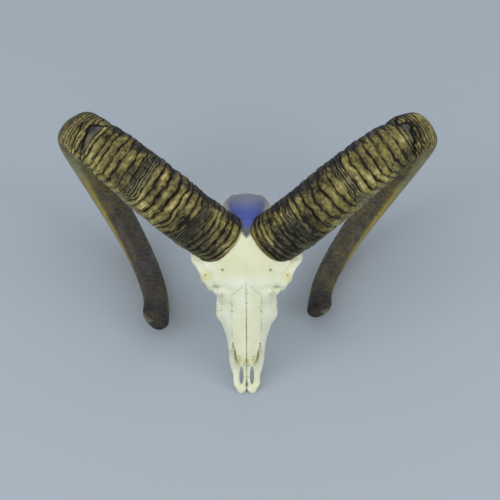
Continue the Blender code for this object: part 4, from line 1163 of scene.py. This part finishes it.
# Horn keratin: a tough fibrous protein, weathered matt. Ridges are rubbed pale, with a painted highlight on
# their tops and painted shade on their slopes; grooves hold dirt and painted shade.
keratin, tree, shader = new_material("horn keratin")
where = add_node(tree, "ShaderNodeTexCoord").outputs["Object"]
crest, wear, pause, dusk, amber, slate = (
    add_node(tree, "ShaderNodeAttribute", attribute_name=name).outputs["Fac"]
    for name in ("crest", "wear", "pause", "dusk", "amber", "slate"))
fibre, blotch = (
    add_node(tree, "ShaderNodeTexNoise", {"Vector": where, "Scale": 1000 / size, "Detail": detail,
                                          "Roughness": rough}).outputs["Fac"]
    for size, detail, rough in ((HORN_FIBRE_MM, 6.0, 0.7), (HORN_BLOTCH_MM, 5.0, 0.5)))
fleck, mottle, dirt, rough = (
    add_node(tree, "ShaderNodeMapRange", {"Value": value, "From Min": low, "From Max": high,
                                          "To Min": new_low, "To Max": new_high}).outputs["Result"]
    for value, low, high, new_low, new_high in (
        (fibre, 0.3, 0.7, -0.14, 0.14), (blotch, 0.42, 0.58, 0.0, 1.0), (blotch, 0.62, 0.30, 0.0, 0.30),
        (fibre, 0.3, 0.7, 0.42, 0.68)))
level = add_node(tree, "ShaderNodeMath", {0: crest, 1: fleck}, operation="ADD", use_clamp=True).outputs[0]
tones = add_node(tree, "ShaderNodeValToRGB", {"Fac": level})
first, last = tones.color_ramp.elements
first.position, first.color = 0.06, colour(HORN_GROOVE)
last.position, last.color = 0.98, colour(HORN_CREST)
for place, tone in ((0.34, HORN_SLOPE), (0.72, HORN_RIDGE)):
    tones.color_ramp.elements.new(place).color = colour(tone)
mottled = add_node(tree, "ShaderNodeMix", {0: mottle, 6: HORN_DUSK, 7: HORN_UMBER}, data_type="RGBA")
mottled = mottled.outputs[2]

# Over the olive ridges come the growth pauses, the worn places, the dusky ends and the bare scars. Each has a
# tone for its grooves and one for its ridges.
surface = tones.outputs["Color"]
for share, in_groove, on_ridge in ((pause, HORN_GROOVE, HORN_GREY), (wear, HORN_GREY, HORN_PALE),
                                   (dusk, HORN_DARK, mottled), (slate, HORN_DARK, HORN_SLATE)):
    tone = add_node(tree, "ShaderNodeMix", {0: level, 6: in_groove, 7: on_ridge}, data_type="RGBA").outputs[2]
    surface = add_node(tree, "ShaderNodeMix", {0: share, 6: surface, 7: tone}, data_type="RGBA").outputs[2]
surface = add_node(tree, "ShaderNodeMix", {0: amber, 6: surface, 7: HORN_AMBER}, data_type="RGBA").outputs[2]
surface = add_node(tree, "ShaderNodeMix", {0: dirt, 6: surface, 7: HORN_SLOPE}, data_type="RGBA",
                   blend_type="MULTIPLY").outputs[2]
press = add_node(tree, "ShaderNodeBump", {"Height": fibre, "Strength": 0.5, "Distance": 0.00035})
set_inputs(tree, shader, {"Base Color": surface, "Normal": press.outputs["Normal"], "Roughness": rough,
                          "IOR": 1.55, "Specular IOR Level": 0.18})


def horn_relief(name, share, angle, seed):
    """The ridges of a sheath: how far each point stands out, and the marks that its material reads."""
    length = HORNS[name]["length"]
    signed = signed_degrees(angle) + 0 * share
    circle = SHEATH_RADIUS * np.stack([np.cos(angle), np.sin(angle)], -1)
    rolled = np.dstack([np.broadcast_to(circle, (*share.shape, 2)), share * length]).reshape(-1, 3)

    def noise(size, number, stretch=1.0):
        """Bumps of this size in metres, and stretched along the horn."""
        return scatter(rolled * (1, 1, 1 / stretch), size, seed + number).reshape(share.shape)

    # Every groove wavers, and bows towards the tip away from the horn's front, most on the lower side. The
    # bow is measured against its size at 50 degrees from the middle of the front.
    listed = np.array(GROOVES[name])
    before = listed[0] - EARLIER_PITCH * np.arange(4, 0, -1)
    after = listed[-1] + np.cumsum(np.linspace(FIRST_LATER_PITCH, LAST_LATER_PITCH, 70))
    grooves = np.concatenate([before, listed, after])
    off_middle = np.minimum((1 - np.cos(np.radians(signed - 10))) / 0.357, 1.8)
    low_side = ramp(signed, 20, 60) * ramp(signed, 178, 120)
    bow = (0.0015 + 0.0035 * ramp(share, 0.06, 0.20)) * off_middle * (0.75 + 0.95 * low_side)
    swing = sum(height * noise(size, number, stretch)
                for number, (height, size, stretch) in enumerate(GROOVE_WAVER, 1))
    swung = share + (swing - bow) / length

    # Where each point lies between its two grooves.
    phase = np.interp(swung, grooves, np.arange(len(grooves)))
    number = np.minimum(phase.astype(int), len(grooves) - 2)
    within = phase - number
    to_nearer = np.minimum(within, 1 - within)
    pitch = (grooves[number + 1] - grooves[number]) * length

    # Ridges, coarse on the front and fading past the turn, and the grooves between them.
    fade = np.interp(share, *zip(*RIDGE_FADE))
    strength = 0.80 + 0.20 * np.sin(number * 12.9898 + seed)
    patchy = np.clip(0.85 + 0.55 * noise(0.012, 7), 0.25, 1.35)
    height = np.minimum(0.22 * pitch, RIDGE_HEIGHT) * fade
    face = 0.25 + 0.75 * ramp(np.abs(signed + 8), 125, 78)
    groove_width = GROOVE_WIDTH * (1 + 0.75 * noise(0.005, 5))
    groove = hill(to_nearer * pitch, groove_width) * np.clip(0.68 + 0.80 * noise(0.009, 6), 0.10, 1.0)
    stand = face * height * (strength * patchy * (1 - (1 - 2 * to_nearer) ** 3) - 0.55)
    stand -= face * groove * np.minimum(0.14 * pitch, GROOVE_DEPTH)

    # Growth lines, a shallow groove along the middle of broad ridges, lifted leaves of keratin, and pits.
    line = 0.5 - 0.5 * np.cos(2 * math.pi * (swung * length / LINE_PITCH + 0.9 * noise(0.009, 8)))
    sub_groove = hill((within - 0.5 + 0.18 * noise(0.010, 9)) * pitch, 0.00045)
    sub_groove *= ramp(pitch, 0.0050, 0.0080) * ramp(noise(0.014, 10), -0.4, 0.4)
    leaves = (1 - line) ** 2 * ramp(noise(0.012, 16), -0.3, 0.5) * (0.4 + 0.6 * fade)
    pits = ramp(noise(0.009, 17, 0.35), 0.30, 0.65) * fade
    stand += 0.00010 * line * fade - 0.00035 * sub_groove - 0.00016 * leaves - 0.00030 * pits
    stand += 0.00026 * noise(0.0032, 11) * fade + 0.00012 * noise(0.0015, 12) * (0.4 + 0.6 * fade)

    def opening(off_line, half_width, start, end, number):
        """How far a crack is open at each point, from the distance along the horn to its line."""
        wander = 8 * noise(0.012, number)
        reach = ramp(signed + wander, start - 5, start + 5) * ramp(signed + wander, end + 10, end - 10)
        return hill(off_line, half_width / 1000) * reach

    # Grooves that have opened, the cracks before the turn, and the bare scar behind the first crack. How far
    # each is open is also kept, to paint it black as painted shade.
    gap = np.zeros(share.shape)
    for count, (at, depth, half_width, start, end) in enumerate(CLEFTS[name]):
        opened = opening((swung - at) * length, half_width, start, end, 20 + count)
        stand -= depth / 1000 * opened
        gap = np.maximum(gap, opened * depth / 1.2)
    cut = share + 0.7 * swing / length
    arc = SHEATH_RADIUS * 2 * math.pi / HORN_SIDES
    for count, (depth, half_width, course) in enumerate(CRACKS[name]):
        route = np.interp(signed, *zip(*course))
        steep = np.hypot(1, np.gradient(route, axis=1) * length / arc)
        opened = opening((cut - route) * length / steep, half_width, course[0][0], course[-1][0], 24 + count)
        stand -= depth / 1000 * opened
        gap = np.maximum(gap, np.minimum(1.25 * opened, 1))
    behind = np.interp(signed, *zip(*CRACKS[name][0][2])) - cut
    scar = ramp(np.interp(signed, *zip(*SCARS[name])) - behind, -0.002, 0.003) * ramp(behind, 0.0, 0.001)
    stand = stand * (1 - 0.75 * scar) - 0.0010 * scar

    # The worn tip, the hump or hollow of the turn, and the growth pauses.
    stand -= TIP_WEAR * ramp(share, 0.86, 0.96)
    hump_at, hump_angle, hump = HUMPS[name]
    stand += hump * hill(share - hump_at, 0.032) * hill(signed - hump_angle, 38)
    pause = np.zeros(share.shape)
    for at, half_width in PAUSES[name]:
        pause = np.maximum(pause, hill(swung - at, half_width))
    stand -= 0.00045 * pause * face

    # Crest, the mark of how light each point is: dirt and painted shade in the grooves, rubbed ridges painted
    # light on top and shaded on their slopes, smooth past the turn.
    # Each ridge is painted lighter on its rounded top and darker down its slopes: painted highlight and
    # shade.
    rounded = 1 - (1 - 2 * to_nearer) ** 1.5
    crest = 0.20 + 0.60 * strength * rounded * patchy + 0.17 * noise(0.017, 15) - 0.15 * pits
    crest += 0.25 * noise(0.0022, 13) + 0.12 * noise(0.0075, 14)
    crest += 0.08 * line - 0.30 * sub_groove - 0.20 * leaves
    crest -= (0.66 - 0.30 * pause) * (0.2 + 0.8 * fade) * groove
    past_turn = ramp(share + 0.02 * noise(0.03, 30), 0.38, 0.56)
    smooth_tone = 0.34 + 0.28 * line + 0.13 * noise(0.005, 31, 0.6) + 0.14 * noise(0.012, 42) - 0.30 * groove
    crest = crest * (1 - past_turn) + past_turn * smooth_tone

    # The dark upper side and foot of the horn, its worn lower side, and the dusky inner side past the turn.
    upper = ramp(signed + 13 * noise(0.010, 32), -34, -56) * ramp(signed, -175, -130)
    lower_base = ramp(signed + 16 * noise(0.012, 33), -24, 4)
    lower_base *= ramp(share + 0.01 * noise(0.02, 34), 0.120, 0.050)
    lower = ramp(signed + 12 * noise(0.012, 35), 40, 66) * ramp(signed, 178, 150)
    crest = crest - 0.30 * upper * (1 - past_turn) - 0.30 * lower_base - 0.35 * ramp(share, 0.93, 0.98)
    # Open grooves and cracks are painted black: painted shade.
    crest = np.clip(crest, 0, 1) * (1 - gap) - 0.15 * gap
    crest -= TURN_SHADE[name] * ramp(share, 0.318, 0.328) * ramp(share, 0.385, 0.350) * ramp(signed, 75, 40)
    inner = np.maximum(ramp(signed + 6 * noise(0.012, 39), 112, 136), ramp(signed, -50, -75))
    dusk = np.maximum(0.66 * upper * (1 - past_turn), 0.95 * ramp(share, 0.94, 0.985))
    dusk = np.maximum(dusk, DUSK[name] * past_turn * inner * ramp(share, 0.42, 0.75))
    wear = 0.46 * lower * (1 - past_turn) * ramp(share, 0.30, 0.20)
    wear = np.maximum(wear, 0.80 * past_turn * (1 - inner))

    # The amber keel, the thin amber rim at the base, and the pale chipped edge of the broken tip.
    start, end = KEELS[name]
    keel = hill(signed - KEEL_ANGLE + 5 * noise(0.02, 36), 17)
    keel *= ramp(share, start - 0.04, start + 0.04) * ramp(share, end + 0.03, end - 0.03)
    amber = 0.85 * keel * np.clip(0.70 + 0.6 * noise(0.010, 37, 2.0) + 0.5 * noise(0.005, 41, 0.4), 0, 1)
    rim = ramp(share * length + 0.001 * noise(0.006, 38), 0.0005, -0.0045) * ramp(signed, -90, -50)
    chip = hill(signed - SLANT_ANGLE, 38) * ramp(noise(0.006, 43), -0.6, 0.2)
    chip *= 0.7 * ramp(share, 0.984, 0.992)
    marks = {
        "crest": crest + 0.35 * chip,
        "pause": np.clip(0.75 * pause + 0.75 * lower_base, 0, 1),
        "wear": np.maximum(wear, chip),
        "dusk": dusk * (1 - 0.85 * chip),
        "amber": np.maximum(amber, 0.16 * rim * ramp(signed, 60, 20)),
        "slate": scar * (1 - gap) * (0.55 + 0.35 * ramp(signed, 8, -18)),
    }
    return stand, marks


def unit(vectors):
    """The vectors at length 1."""
    return vectors / np.linalg.norm(vectors, axis=-1, keepdims=True)


for seed, (name, horn) in enumerate(HORNS.items()):
    # Rings of the smooth sheath, each point moved out by the relief and, at the tip, along the horn.
    ridged = np.arange(0, RIDGED_LENGTH, RIDGED_STEP)
    smooth = np.arange(RIDGED_LENGTH, horn["length"] - LAST_RINGS[0], SMOOTH_STEP)
    share = np.concatenate([ridged, smooth, horn["length"] - np.array(LAST_RINGS)]) / horn["length"]
    angle = round_angles(HORN_SIDES)
    shares = sheath_shares(name, share, angle)
    grid = sheath(name, shares, angle)
    stand, marks = horn_relief(name, shares, angle, 100 * (seed + 1))
    stand[0] -= EDGE_DRAW
    along = unit(np.gradient(grid, axis=0))
    normal = unit(np.cross(np.roll(grid, -1, 1) - np.roll(grid, 1, 1), along))
    normal *= np.sign((normal * (grid - grid.mean(1, keepdims=True))).sum(-1).mean())
    slant = TIP_SLANT * np.cos(angle - math.radians(SLANT_ANGLE)) * ramp(shares, 0.94, 1.0)
    rings = grid + normal * stand[..., None] + along * slant[..., None]
    if horn["side"] > 0:
        rings = rings[:, ::-1]
        marks = {key: values[:, ::-1] for key, values in marks.items()}

    # Four-sided faces between the rings, and a fan of triangles over each end.
    rows, sides = rings.shape[:2]
    numbers = np.arange(rows * sides).reshape(rows, sides)
    ahead = np.roll(numbers, -1, 1)
    quads = np.stack([numbers[:-1], ahead[:-1], ahead[1:], numbers[1:]], -1).reshape(-1, 4)
    points = np.vstack([rings.reshape(-1, 3), rings[0].mean(0), rings[-1].mean(0)])
    caps = np.vstack([np.stack([ahead[0], numbers[0], np.full(sides, rows * sides)], -1),
                      np.stack([numbers[-1], ahead[-1], np.full(sides, rows * sides + 1)], -1)])
    mesh = new_mesh(name + "_sheath", points, [quads, caps])
    for key, values in marks.items():
        mark(mesh, key, np.append(values.ravel(), (values[0].mean(), values[-1].mean())))
    lay_down(mesh, points)
    show(mesh, keratin, "horn", name)


# ============================================================================================================
# The scene brought up to date
# The view layer is updated once more, with every piece in its place.
# ============================================================================================================
bpy.context.view_layer.update()
